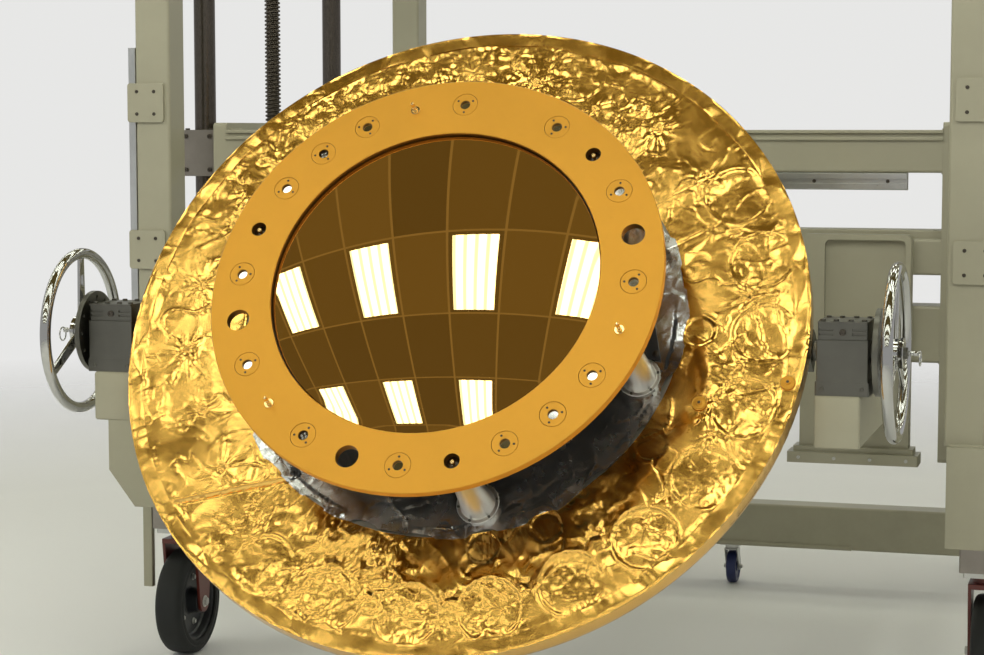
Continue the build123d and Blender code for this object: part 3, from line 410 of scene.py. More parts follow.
def rubber_finish(name, colour):
    """Black rubber with scuffs on the tread."""
    finish = Finish(name, colour, IOR=1.5)
    scuff = finish.ramp(finish.noise(40, 5, 0.7), 0.45, 0.75)
    finish.look(
        finish.mix(scuff * 0.22, colour, (0.05, 0.048, 0.045)),
        finish.ramp(scuff, 0, 1, 0.62, 0.8),
        finish.bump(finish.noise(260, 3, 0.6), 0.0002, 0.5, 0.002),
    )
    return finish


def plastic_finish(name, colour):
    """Moulded plastic with light scratches."""
    finish = Finish(name, colour, IOR=1.5)
    mark = finish.noise(55, 5, 0.7)
    finish.look(
        finish.shade(finish.ramp(mark, 0.3, 0.7, 0.85, 1.1)),
        finish.ramp(mark, 0.3, 0.7, 0.32, 0.47),
        finish.bump(mark, 0.0001, 0.4, 0.001),
    )
    return finish


FINISHES = {}


def make_finishes(colours):
    """One finish for each of the record's slots."""
    tone = {name: tuple(getattr(colours, name)) for name in UnitColours.__annotations__}
    for name, make, *values in (
        ("stand_paint", paint_finish, tone["stand_paint"]),
        ("bearing_steel", metal_finish, tone["steel"], 0.34, (6, 6, 80)),
        ("dark_steel", metal_finish, tone["dark_steel"], 0.27, (90, 90, 3)),
        ("block_grey", metal_finish, (0.33, 0.30, 0.27), 0.42, (50, 50, 8)),
        ("chrome_wheel", polished_finish, tone["chrome"], 0.04),
        ("gold_plate", ring_finish, tone["gold_plate"]),
        # The last number of each foil is how dark the painted shade in its creases is
        ("gold_foil", foil_finish, tone["gold_film"], 0.13, 0.00034, 0.6),
        ("silver_foil", foil_finish, tone["silver_film"], 0.17, 0.0003, 0.7),
        ("mirror_face", mirror_finish, tone["mirror_gold"]),
        ("bare_aluminium", metal_finish, (0.72, 0.70, 0.66), 0.33, (40, 40, 40)),
        ("grey_bracket", metal_finish, (0.10, 0.10, 0.105), 0.45, (30, 30, 30)),
        ("panel_skin", metal_finish, (0.50, 0.48, 0.43), 0.38, (20, 20, 20)),
        ("tyre_rubber", rubber_finish, tone["rubber"]),
        ("wheel_centre", paint_finish, (0.02, 0.022, 0.026), 0.38),
        ("fork_red", paint_finish, tone["fork_red"], 0.36),
        ("small_wheel_blue", plastic_finish, tone["navy"]),
        ("zinc_steel", metal_finish, (0.55, 0.55, 0.53), 0.32, (25, 25, 25)),
        ("slot_aluminium", metal_finish, (0.62, 0.63, 0.63), 0.3, (3, 60, 60)),
        ("polished_gold", polished_finish, (0.93, 0.66, 0.28), 0.12),
        ("motor_grey", paint_finish, (0.11, 0.12, 0.125), 0.4),
    ):
        FINISHES[name] = make(name, *values)


def dress(piece, slot, body, *replaced, look=None):
    """Give a new piece its finish, its body and the nodes it stands for."""
    piece.data.materials.clear()
    piece.data.materials.append(FINISHES[look or slot].material)
    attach(piece, body)
    if replaced:
        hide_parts(*replaced)
    return piece


# Modelling helpers that work as by hand


def start_clean():
    """Leave edit mode and select nothing."""
    if bpy.context.object and bpy.context.object.mode != "OBJECT":
        bpy.ops.object.mode_set(mode="OBJECT")
    bpy.ops.object.select_all(action="DESELECT")


def select(*parts):
    """Select only these pieces and make the first one active."""
    start_clean()
    for part in parts:
        part.select_set(True)
    bpy.context.view_layer.objects.active = parts[0]


def joined(name, *parts):
    """Make one piece of the parts and name it."""
    select(*parts)
    if len(parts) > 1:
        bpy.ops.object.join()
    parts[0].name = parts[0].data.name = name
    return parts[0]


def settle(name):
    """Put a new primitive's place into its mesh and name it."""
    piece = joined(name, bpy.context.object)
    bpy.ops.object.transform_apply(location=True, rotation=True, scale=True)
    return piece


def edit_all(piece):
    """Open a piece in edit mode with everything selected."""
    select(piece)
    bpy.ops.object.mode_set(mode="EDIT")
    bpy.ops.mesh.select_all(action="SELECT")


def close_up(threshold=0.000004):
    """Merge what coincides in the open mesh and turn its faces outward."""
    bpy.ops.mesh.select_all(action="SELECT")
    bpy.ops.mesh.remove_doubles(threshold=threshold)
    bpy.ops.mesh.normals_make_consistent(inside=False)


def pick_faces(piece, test):
    """Select in edit mode only the faces whose centre and normal pass a test."""
    bpy.ops.object.mode_set(mode="EDIT")
    bpy.ops.mesh.select_mode(type="FACE")
    form = bmesh.from_edit_mesh(piece.data)
    for face in form.faces:
        face.select = test(face.calc_center_median(), face.normal)
    form.select_flush_mode()
    bmesh.update_edit_mesh(piece.data)


def apply(piece, kind, **settings):
    """Add a modifier and apply it."""
    select(piece)
    modifier = piece.modifiers.new(kind.title(), kind)
    for key, value in settings.items():
        setattr(modifier, key, value)
    bpy.ops.object.modifier_apply(modifier=modifier.name)


def smooth(piece, degrees=32):
    select(piece)
    bpy.ops.object.shade_smooth_by_angle(angle=math.radians(degrees))
    return piece


def place(piece, matrix):
    """Move a piece's mesh, so that its object stays at the origin."""
    piece.data.transform(matrix)
    return piece


def facing(point, axis):
    """Matrix that stands something made along Z at a point, along an axis."""
    turn = Vector(axis).normalized().to_track_quat("Z", "Y").to_matrix().to_4x4()
    return Matrix.Translation(Vector(point)) @ turn


def draw_profile(name, profile):
    """Draw a line of (radius, height) points by pulling each vertex out of the last."""
    start_clean()
    radius, height = profile[0]
    bpy.ops.mesh.primitive_plane_add(size=0.001, location=(radius, 0, height))
    piece = settle(name)
    bpy.ops.object.mode_set(mode="EDIT")
    bpy.ops.mesh.select_mode(type="VERT")
    bpy.ops.mesh.select_all(action="SELECT")
    bpy.ops.mesh.merge(type="CENTER")
    for (r0, h0), (r1, h1) in zip(profile, profile[1:]):
        bpy.ops.mesh.extrude_vertices_move(
            TRANSFORM_OT_translate={"value": (r1 - r0, 0, h1 - h0)}
        )
    return piece


def mirrored(half):
    """Profile with its lower half given, from the bottom up."""
    return half + [(radius, -height) for radius, height in reversed(half)]


def lathe(name, profile, steps=64, matrix=None, ring=False, soft=32):
    """Turn a profile round Z; a ring's profile closes on itself."""
    piece = draw_profile(name, profile + profile[:1] if ring else profile)
    bpy.ops.mesh.select_all(action="SELECT")
    bpy.ops.mesh.spin(steps=steps, angle=2 * math.pi, center=(0, 0, 0), axis=(0, 0, 1))
    close_up()
    smooth(piece, soft)
    return place(piece, matrix) if matrix else piece


def hoop(name, radius, wire, steps, sides):
    """A round bar bent to a ring round Z."""
    turns = [2 * math.pi * k / sides for k in range(sides)]
    profile = [(radius + wire * math.cos(t), wire * math.sin(t)) for t in turns]
    return lathe(name, profile, steps, ring=True)


def block(name, low, high, edge, segments=2):
    """A block between two corners with rounded edges."""
    start_clean()
    low, high = Vector(low), Vector(high)
    bpy.ops.mesh.primitive_cube_add(size=1, location=(low + high) / 2, scale=high - low)
    piece = settle(name)
    edit_all(piece)
    bpy.ops.mesh.bevel(offset=edge, segments=segments, affect="EDGES")
    return smooth(piece, 40)


def cylinder(name, sides, radius, depth, middle):
    """A cylinder along Z, open in edit mode with its top face selected."""
    start_clean()
    bpy.ops.mesh.primitive_cylinder_add(
        vertices=sides, radius=radius, depth=depth, location=(0, 0, middle)
    )
    piece = settle(name)
    pick_faces(piece, lambda centre, normal: normal.z > 0.9)
    return piece


def socket_screw(radius, height, sides):
    """A cap screw standing on Z = 0 with a bevelled head and a recessed socket."""
    screw = cylinder("socket_screw", sides, radius, height, height / 2)
    bpy.ops.mesh.inset(thickness=radius * 0.10, depth=radius * 0.06)
    bpy.ops.mesh.inset(thickness=radius * 0.34)
    bpy.ops.mesh.extrude_region_move(TRANSFORM_OT_translate={"value": (0, 0, -height * 0.55)})
    return smooth(screw)


def hex_screw(radius, height):
    """A hexagon head on a washer, standing on Z = 0."""
    washer = cylinder("washer", 20, radius * 1.4, height * 0.22, height * 0.11)
    bpy.ops.mesh.inset(thickness=radius * 0.06, depth=radius * 0.04)
    head = cylinder("head", 6, radius, height * 0.8, height * 0.6)
    bpy.ops.mesh.inset(thickness=radius * 0.14, depth=radius * 0.08)
    return smooth(joined("hex_screw", washer, head))


def scatter(name, pattern, places, slot, body, *replaced, look=None):
    """Copy a modelled pattern to every place, make one dressed piece and drop the pattern."""
    start_clean()
    copies = []
    for matrix in places:
        copy = pattern.copy()
        copy.data = pattern.data.copy()
        copy.data.transform(matrix)
        bpy.context.collection.objects.link(copy)
        copies.append(copy)
    piece = joined(name, *copies)
    bpy.data.objects.remove(pattern, do_unlink=True)
    return dress(piece, slot, body, *replaced, look=look)


# Places for small parts


def polar(radius, degrees):
    return radius * math.cos(math.radians(degrees)), radius * math.sin(math.radians(degrees))


def unit_spot(radius, degrees, height):
    """Matrix that stands a pattern on the mirror unit."""
    return UNIT @ Matrix.Translation((*polar(radius, degrees), height))


def stations(angles, level=RING_LEVEL):
    """Places on the circle of the ring's stations."""
    return [unit_spot(STATION_R, angle, level) for angle in angles]


def round_stations(angles, level, count, start, radius, lift):
    """Places in a small circle round each station."""
    return [
        unit_spot(STATION_R, angle, level)
        @ Matrix.Translation((*polar(radius, angle + start + 360 / count * k), lift))
        for angle, k in product(angles, range(count))
    ]


def both_sides(x, y, z, axis):
    """The same place on the right and on the left, with a sideways axis mirrored."""
    return [facing((side * x, y, z), (side * axis[0], *axis[1:])) for side in (1, -1)]


def grid(xs, ys, zs, axis):
    """Places at every mix of three lists of numbers, on the right and on the left."""
    return [spot for x, y, z in product(xs, ys, zs) for spot in both_sides(x, y, z, axis)]


def inside(low, high, *gaps):
    """Numbers that lie the given gaps inside both ends of a run."""
    return [low + gap for gap in gaps] + [high - gap for gap in gaps]


def about(middle, *gaps):
    """Numbers on both sides of a middle."""
    return [middle + gap for gap in gaps] + [middle - gap for gap in gaps]


def axle_spots(x):
    """Places on the trunnion axis, right and left, turned outward."""
    return [
        Matrix(((0, 0, side, side * x), (side, 0, 0, PIVOT.y), (0, 1, 0, PIVOT.z), (0, 0, 0, 1)))
        for side in (1, -1)
    ]


def half_box(node):
    """Lowest and highest corner of the part of a node on the right."""
    spots = np.array([v.co for v in NODES[node].data.vertices if v.co.x > 0], float)
    return Vector(spots.min(0)), Vector(spots.max(0))


# Folds of the foil


def fold_field(x, y, spacing, seed, area=0.86):
    """Height from -1 to 1 of flat facets with sharp creases, about the given spacing across."""
    rng = np.random.default_rng(seed)
    steps = np.arange(-area, area + spacing, spacing)
    grid_x, grid_y = np.meshgrid(steps, steps)
    spots = np.stack([grid_x.ravel(), grid_y.ravel()], 1)
    spots[:, 0] += (np.arange(len(spots)) // len(steps) % 2) * spacing / 2
    spots += rng.uniform(-0.46, 0.46, spots.shape) * spacing
    heights = rng.uniform(-1, 1, len(spots))
    corners, _, faces, *_ = delaunay_2d_cdt([Vector(p) for p in spots], [], [], 0, 1e-7)
    points = [(c.x, c.y, h) for c, h in zip(corners, heights)]
    tree = BVHTree.FromPolygons(points, faces, all_triangles=True)
    down = Vector((0, 0, -1))
    result = np.zeros(len(x))
    for index, (px, py) in enumerate(zip(x, y)):
        hit = tree.ray_cast(Vector((px, py, 3.0)), down)[0]
        if hit is not None:
            result[index] = hit.z
    return result


def waves(x, y, size, seed):
    """Smooth wandering value from about -1 to 1 with hills about the given size across."""
    rng = np.random.default_rng(seed)
    turn = rng.uniform(0, 2 * math.pi)
    px = (x * math.cos(turn) - y * math.sin(turn)) / size + 500
    py = (x * math.sin(turn) + y * math.cos(turn)) / size + 500
    ix, iy = np.floor(px).astype(int), np.floor(py).astype(int)
    slopes = rng.uniform(0, 2 * math.pi, (256, 256))
    fx, fy = px - ix, py - iy
    ease_x, ease_y = (f**3 * (f * (f * 6 - 15) + 10) for f in (fx, fy))
    corner = {}
    for dx, dy in product((0, 1), (0, 1)):
        angle = slopes[(ix + dx) % 256, (iy + dy) % 256]
        corner[dx, dy] = np.cos(angle) * (fx - dx) + np.sin(angle) * (fy - dy)
    low = corner[0, 0] * (1 - ease_x) + corner[1, 0] * ease_x
    high = corner[0, 1] * (1 - ease_x) + corner[1, 1] * ease_x
    return (low * (1 - ease_y) + high * ease_y) * 1.6


def ridges(x, y, size, seed):
    """Value from about -1 to 1 with sharp crests that wander between smooth hollows."""
    line = waves(x, y, size, seed)
    return 1 - 2.4 * np.sqrt(line**2 + 0.0016)


def step(value, low, high):
    """Smooth step from 0 to 1."""
    t = np.clip((value - low) / (high - low), 0, 1)
    return t * t * (3 - 2 * t)


def along_seam(x, y, start, end):
    """Distance to a seam's line with its side as the sign, and 1 within its length."""
    (ax, ay), (bx, by) = start, end
    dx, dy = bx - ax, by - ay
    run = math.hypot(dx, dy)
    share = ((x - ax) * dx + (y - ay) * dy) / run**2
    side = ((x - ax) * dy - (y - ay) * dx) / run
    return side, step(share, -0.06, 0.02) * (1 - step(share, 0.97, 1.06))


# How deep each pocket shows through the foil, from the right side round, 15 degrees apart
POCKET_SHARES = (
    0.45, 0.60, 0.50, 0.15, 0.30, 0.45, 0.25, 0.50, 0.12, 0.22, 0.08, 0.16,
    0.05, 0.12, 0.10, 0.20, 0.45, 0.70, 0.90, 0.95, 0.85, 1.00, 0.90, 0.70,
)
# Seams of the foil: start, end and height of the upper edge
SEAMS = (
    (polar(0.519, -129.5), polar(0.797, -143.0), 0.0052),
    (polar(0.530, 38.2), polar(0.682, 36.6), 0.0020),
    (polar(*GOLD_TIES[0]), polar(*GOLD_TIES[1]), 0.0012),
    (polar(0.490, 24.0), polar(0.640, 26.0), 0.0012),
)


def star(x, y, centre, reach, rng):
    """Thin creases of uneven length that run out from a tie point, which is pulled in."""
    dx, dy = x - centre[0], y - centre[1]
    away = np.hypot(dx, dy)
    folds = np.zeros(len(x))
    near = away < reach * 2.2
    px, py, pa = dx[near], dy[near], away[near]
    lines = np.zeros(int(near.sum()))
    turn = rng.uniform(0, 2 * math.pi)
    for _ in range(int(rng.integers(7, 12))):
        turn += rng.uniform(0.35, 0.95)
        run = reach * rng.uniform(0.6, 2.1)
        bend = rng.uniform(-0.10, 0.10)
        along = px * math.cos(turn) + py * math.sin(turn)
        aside = np.abs(py * math.cos(turn) - px * math.sin(turn) + bend * along**2 / reach)
        width = 0.0022 + 0.055 * np.clip(along, 0, 1)
        crest = np.exp(-aside / width) * step(along, 0.002, 0.010)
        crest = crest * np.clip(1 - along / run, 0, 1)
        lines = lines + crest * (1.0 if rng.random() > 0.35 else -0.7)
    folds[near] = lines * 0.55 - 0.95 * np.exp(-((pa / 0.009) ** 2))
    return folds


def crumple(x, y, seed, sizes, bias):
    """Height of crumpled film; the bias from 0 to 1 goes from flat plates to close crumples."""
    wander_x = x + 0.009 * waves(x, y, 0.08, seed) + 0.0024 * waves(x, y, 0.024, seed + 1)
    wander_y = y + 0.009 * waves(x, y, 0.08, seed + 2) + 0.0024 * waves(x, y, 0.024, seed + 3)
    busy = step(waves(x, y, 0.17, seed + 4) + (bias - 0.5) * 2.4, -0.45, 0.75)
    height = sizes.broad_fold * waves(wander_x, wander_y, 0.135, seed + 5) * (0.30 + 0.70 * busy)
    near_x, near_y = (x + wander_x) / 2, (y + wander_y) / 2
    plates = fold_field(near_x, near_y, 0.090, seed + 6)
    chips = fold_field(near_x, near_y, 0.047, seed + 7)
    height += sizes.flat_fold * (0.62 * plates + (0.14 + 0.26 * busy) * chips)
    fine = sizes.fine_fold * (1.45 * busy**1.5 + 0.55 * busy**4)
    height += fine * fold_field(x, y, 0.024, seed + 11)
    for k, (size, share) in enumerate(((0.110, 0.75), (0.070, 0.55), (0.045, 0.35))):
        line = np.exp(-np.abs(waves(wander_x, wander_y, size, seed + 20 + k)) / (0.0036 / size))
        here = step(waves(x, y, size * 1.3, seed + 30 + k), -0.15, 0.35)
        height += sizes.middle_fold * share * line * here * (1 if k != 1 else -1)
    height += sizes.middle_fold * 0.40 * ridges(wander_x, wander_y, 0.047, seed + 10) * busy
    height -= sizes.middle_fold * 0.22 * ridges(wander_x, wander_y, 0.029, seed + 8) * busy**2
    height += sizes.fine_fold * 0.35 * ridges(wander_x, wander_y, 0.017, seed + 9) * busy**3
    return height, busy


# How crumpled the gold foil is round the shield: station angles and shares
CRUMPLED = (
    (-180, -142, -128, -90, -60, -30, 0, 40, 65, 90, 120, 150, 166, 180),
    (0.04, 0.08, 0.62, 0.70, 0.55, 0.42, 0.18, 0.22, 0.62, 0.90, 1.00, 0.95, 0.22, 0.04),
)


def away_from(x, y, centre):
    """Distance of every point from a centre."""
    return np.hypot(x - centre[0], y - centre[1])


def gold_height(x, y, sizes):
    """Height of the gold foil over the unit's plane, at points across and up the face."""
    radius, angle = np.hypot(x, y), np.arctan2(y, x)
    height, busy = crumple(x, y, 21, sizes, np.interp(np.degrees(angle), *CRUMPLED))
    streaks = ridges(radius * 0.28, angle * 0.62, 0.017, 51) * (1 - step(radius, 0.58, 0.66))
    height += sizes.middle_fold * 0.34 * streaks * (0.25 + 0.75 * busy)
    rng = np.random.default_rng(31)
    crinkle = ridges(x, y, 0.020, 61) * 0.0011 + ridges(x, y, 0.012, 62) * 0.0005
    for k, strength in enumerate(POCKET_SHARES):
        away = away_from(x, y, polar(POCKET_R, POCKET_STEP * k))
        pocket = 1 - step(away, 0.0665, 0.0720)
        lip = np.exp(-(((away - 0.0742) / 0.0036) ** 2))
        sag = sizes.pocket_sag * (0.7 + 0.3 * np.cos(away * 26))
        height += pocket * strength * (crinkle * 0.3 - sag)
        height += 0.0008 * strength * lip
        dish = 1 - step(away_from(x, y, polar(DISH_R, POCKET_STEP * k)), 0.031, 0.0385)
        height = height * (1 - 0.3 * dish) - 0.0026 * max(0.0, rng.uniform(-0.9, 1.0)) * dish
    for k in range(24):
        centre = polar(TIE_R if rng.random() > 0.2 else NEAR_TIE_R, POCKET_STEP * (k + 0.5))
        pull = sizes.tie_pull * rng.uniform(0.4, 1.0)
        height += pull * star(x, y, centre, rng.uniform(0.035, 0.062), rng)
    for start, end, lift in SEAMS:
        side, within = along_seam(x, y, start, end)
        fall = np.exp(-np.clip(side, 0, 1) / 0.03)
        height += lift * within * step(side, -0.0022, 0.0022) * fall
        height -= lift * 0.8 * within * np.exp(-((side / 0.0042) ** 2))
    rim = step(radius, 0.742, 0.772)
    pleats = ridges(radius * 0.25, angle * 0.78, 0.013, 71)
    pleats = pleats + 0.5 * ridges(radius * 0.2, angle * 0.78, 0.0075, 72)
    height = height * (1 - 0.86 * rim) + rim * sizes.pleat * 0.55 * pleats
    flat = step(radius, 0.757, 0.768)
    result = SHIELD_LEVEL - 0.0012 - 0.0006 * flat + height * (1 - 0.75 * flat)
    return np.clip(result, FOIL_LOW + 0.0012, SHIELD_LEVEL + 0.0074)


def from_legs(x, y):
    """Distance of every point from the nearest leg's middle."""
    return np.min([away_from(x, y, polar(STATION_R, angle)) for angle in LEGS], 0)


def silver_height(x, y, sizes):
    """Height of the silver foil over the unit's plane."""
    height, _ = crumple(x, y, 121, sizes, 0.25)
    foot = np.minimum(from_legs(x, y), away_from(x, y, polar(*SILVER_TIE)) + 0.028)
    near = 1 - step(foot, 0.049, 0.064)
    level = SHIELD_LEVEL - 0.001
    film = np.clip(level + height, FOIL_LOW + 0.001, SHIELD_LEVEL + 0.0075)
    return film * (1 - near) + near * (level - 0.0005)


def silver_edge(angle):
    """Radius of the silver foil's cut edge at an angle in radians."""
    degrees = np.degrees(angle)
    edge = 0.5245 + 0.006 * np.sin(angle * 5 + 1.0)
    edge += 0.003 * np.sin(angle * 13 + 2.0) + 0.0015 * np.sin(angle * 31)
    edge += 0.020 * np.exp(-(((degrees + 40) / 16) ** 2))
    for k in range(24):
        gap = (degrees - POCKET_STEP * k + 180) % 360 - 180
        edge -= 0.010 * np.sqrt(np.clip(1 - (gap / 3.6) ** 2, 0, 1))
    return edge


def unit_points(x, y, z):
    return [UNIT @ Vector(p) for p in zip(x, y, z)]


def mesh_piece(name, points, faces):
    """A new piece from points and faces."""
    mesh = bpy.data.meshes.new(name)
    mesh.from_pydata([tuple(p) for p in points], [], faces)
    mesh.update()
    piece = bpy.data.objects.new(name, mesh)
    bpy.context.collection.objects.link(piece)
    return piece


def ring_sheet(radii, count, seed, jitter):
    """Radii and angles of points in rings with a little scatter, and the faces between."""
    rng = np.random.default_rng(seed)
    rows = len(radii)
    r = np.repeat(np.array(radii)[:, None], count, 1)
    a = np.repeat((np.arange(count) * 2 * math.pi / count)[None, :], rows, 0)
    a = a + (np.arange(rows) % 2 * math.pi / count)[:, None]
    inner = np.ones(rows)
    inner[0] = inner[-1] = 0
    gap = np.gradient(np.array(radii))
    r = r + rng.uniform(-jitter, jitter, r.shape) * gap[:, None] * inner[:, None]
    a = a + rng.uniform(-jitter, jitter, a.shape) * (2 * math.pi / count) * inner[:, None]
    faces = []
    for row, k in product(range(rows - 1), range(count)):
        n = (k + 1) % count
        low, low_next, high, high_next = (row * count + i for i in (k, n, count + k, count + n))
        if row % 2:
            faces += [(low, high_next, low_next), (low, high, high_next)]
        else:
            faces += [(low, high, low_next), (low_next, high, high_next)]
    return r, a, faces


# Operators


class MIRRORUNIT_OT_finishes(bpy.types.Operator):
    """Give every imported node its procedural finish"""

    bl_idname = "mirrorunit.finishes"
    bl_label = "Finishes of the packed nodes"

    def execute(self, context):
        make_finishes(context.scene.unit_colours)
        for node in NODES.values():
            for slot in node.material_slots:
                slot.material = FINISHES[slot.material.name.split(".")[0]].material
        return {"FINISHED"}


class MIRRORUNIT_OT_mirror(bpy.types.Operator):
    """Turn the domed mirror with a true curve, so that it shows the ceiling undistorted"""

    bl_idname = "mirrorunit.mirror"
    bl_label = "Convex mirror"

    def execute(self, context):
        sizes = context.scene.unit_sizes
        rim, curve, chamfer, steps = sizes.mirror_edge, sizes.mirror_curve, 0.0012, 33
        back, edge = RING_LEVEL - 0.052, RING_LEVEL - 0.012
        top = edge + curve - math.sqrt(curve**2 - rim**2)
        profile = [(0.0, back), (rim - chamfer, back)]
        profile += [(rim, back + chamfer), (rim, edge - chamfer)]
        for k in range(steps + 1):
            r = (rim - chamfer) * (1 - k / steps)
            profile.append((r, top - curve + math.sqrt(curve**2 - r**2)))
        piece = lathe("mirror_dome", profile, 144, UNIT)
        dress(piece, "mirror_face", "tilt_unit", "convex_mirror")
        return {"FINISHED"}


class MIRRORUNIT_OT_gold_foil(bpy.types.Operator):
    """Lay the crinkled gold foil, sagged into its pockets and pulled in at its tie points"""

    bl_idname = "mirrorunit.gold_foil"
    bl_label = "Gold foil"

    def execute(self, context):
        sizes = context.scene.unit_sizes
        radii = np.arange(sizes.gold_inner, sizes.gold_outer, sizes.gold_step)
        radii[-1] = sizes.gold_outer
        count = 1180
        r, a, faces = ring_sheet(radii, count, 5, 0.30)
        x, y = (r * np.cos(a)).ravel(), (r * np.sin(a)).ravel()
        points = unit_points(x, y, gold_height(x, y, sizes))
        last, top = len(points) - count, len(points)
        for radius, turns in ((radii[0], a[0]), (radii[-1], a[-1])):
            low = np.full(count, FOIL_LOW)
            points += unit_points(radius * np.cos(turns), radius * np.sin(turns), low)
        for k in range(count):
            n = (k + 1) % count
            faces += [
                (k, n, top + n, top + k),
                (last + n, last + k, top + count + k, top + count + n),
                (top + k, top + n, top + count + n, top + count + k),
            ]
        piece = mesh_piece("gold_foil_sheet", points, faces)
        smooth(piece, 55)
        dress(piece, "gold_foil", "tilt_unit", "gold_blanket")
        return {"FINISHED"}


class MIRRORUNIT_OT_silver_foil(bpy.types.Operator):
    """Lay the crumpled silver foil with its cut edge over the gold and holes for the legs' feet"""

    bl_idname = "mirrorunit.silver_foil"
    bl_label = "Silver foil"

    def execute(self, context):
        sizes = context.scene.unit_sizes
        shares = list(np.linspace(0.04, 0.64, 9)) + list(np.linspace(0.67, 1.0, 46))
        r, a, faces = ring_sheet(shares, 820, 6, 0.28)
        a = a.ravel()
        r = r.ravel() * silver_edge(a)
        x, y = r * np.cos(a), r * np.sin(a)
        z = silver_height(x, y, sizes)
        over = r > 0.5
        z[over] = np.maximum(z[over], gold_height(x[over], y[over], sizes) + 0.0009)
        keep = from_legs(x, y) > 0.0462
        faces = [face for face in faces if all(keep[i] for i in face)]
        piece = mesh_piece("silver_foil_sheet", unit_points(x, y, z), faces)
        edit_all(piece)
        bpy.ops.mesh.delete_loose()
        apply(piece, "SOLIDIFY", thickness=0.0003, offset=-1.0)
        smooth(piece, 55)
        dress(piece, "silver_foil", "tilt_unit", "silver_blanket")
        return {"FINISHED"}


class MIRRORUNIT_OT_hem(bpy.types.Operator):
    """Fold the pleated foil strip round the shield's edge"""

    bl_idname = "mirrorunit.hem"
    bl_label = "Foil hem"

    def execute(self, context):
        sizes = context.scene.unit_sizes
        count = 1260
        profile = [
            (0.7652, 0.0793), (0.7685, 0.0795), (0.7720, 0.0796), (0.7760, 0.0797),
            (0.7800, 0.0798), (0.7840, 0.0799), (0.7880, 0.0799), (0.7920, 0.0799),
            (0.7965, 0.0797), (0.8000, 0.0790), (0.8009, 0.0768), (0.8008, 0.0620),
            (0.8006, 0.0450), (0.8004, 0.0330), (0.7985, 0.0300), (0.7950, 0.0297),
            (0.7800, 0.0296),
        ]
        front_rows, edge_rows = range(9), range(10, 14)
        rng = np.random.default_rng(8)
        angle = np.arange(count) * 2 * math.pi / count
        pleats = np.zeros(count)
        for turns in (97, 231):
            phase = rng.uniform(0, 6.28)
            share = (angle * turns / 6.2832 + 0.9 * np.sin(angle * 7 + phase) + phase) % 1
            pleats += (np.abs(share - 0.5) * 2 - 0.5) * rng.uniform(0.16, 0.24)
        for _ in range(60):
            where = rng.uniform(0, 2 * math.pi)
            gap = (angle - where + math.pi) % (2 * math.pi) - math.pi
            pleats += 1.1 * np.exp(-((gap / 0.0035) ** 2)) * rng.uniform(-0.6, 1.0)
        points = []
        for row, (radius, height) in enumerate(profile):
            turn = angle + 0.0004 * row
            out, up = np.full(count, radius), np.full(count, height)
            if row in front_rows:
                folds = fold_field(radius * np.cos(angle), radius * np.sin(angle), 0.036, 91)
                up = up + sizes.pleat * (0.6 * pleats + 1.5 * folds)
            if row in edge_rows:
                out = out - 0.0014 * np.clip(pleats + 0.5, 0, 2)
            if row == 0:
                out = out + 0.0016 * np.sin(angle * 23) + 0.0012 * pleats
            up = np.clip(up, 0.0296, 0.0836)
            points += unit_points(out * np.cos(turn), out * np.sin(turn), up)
        faces = []
        for row, k in product(range(len(profile) - 1), range(count)):
            n = (k + 1) % count
            faces.append(tuple(row * count + i for i in (k, count + k, count + n, n)))
        piece = mesh_piece("foil_hem_strip", points, faces)
        apply(piece, "SOLIDIFY", thickness=0.0004, offset=-1.0)
        smooth(piece, 45)
        dress(piece, "gold_foil", "tilt_unit", "hem_strip")
        return {"FINISHED"}


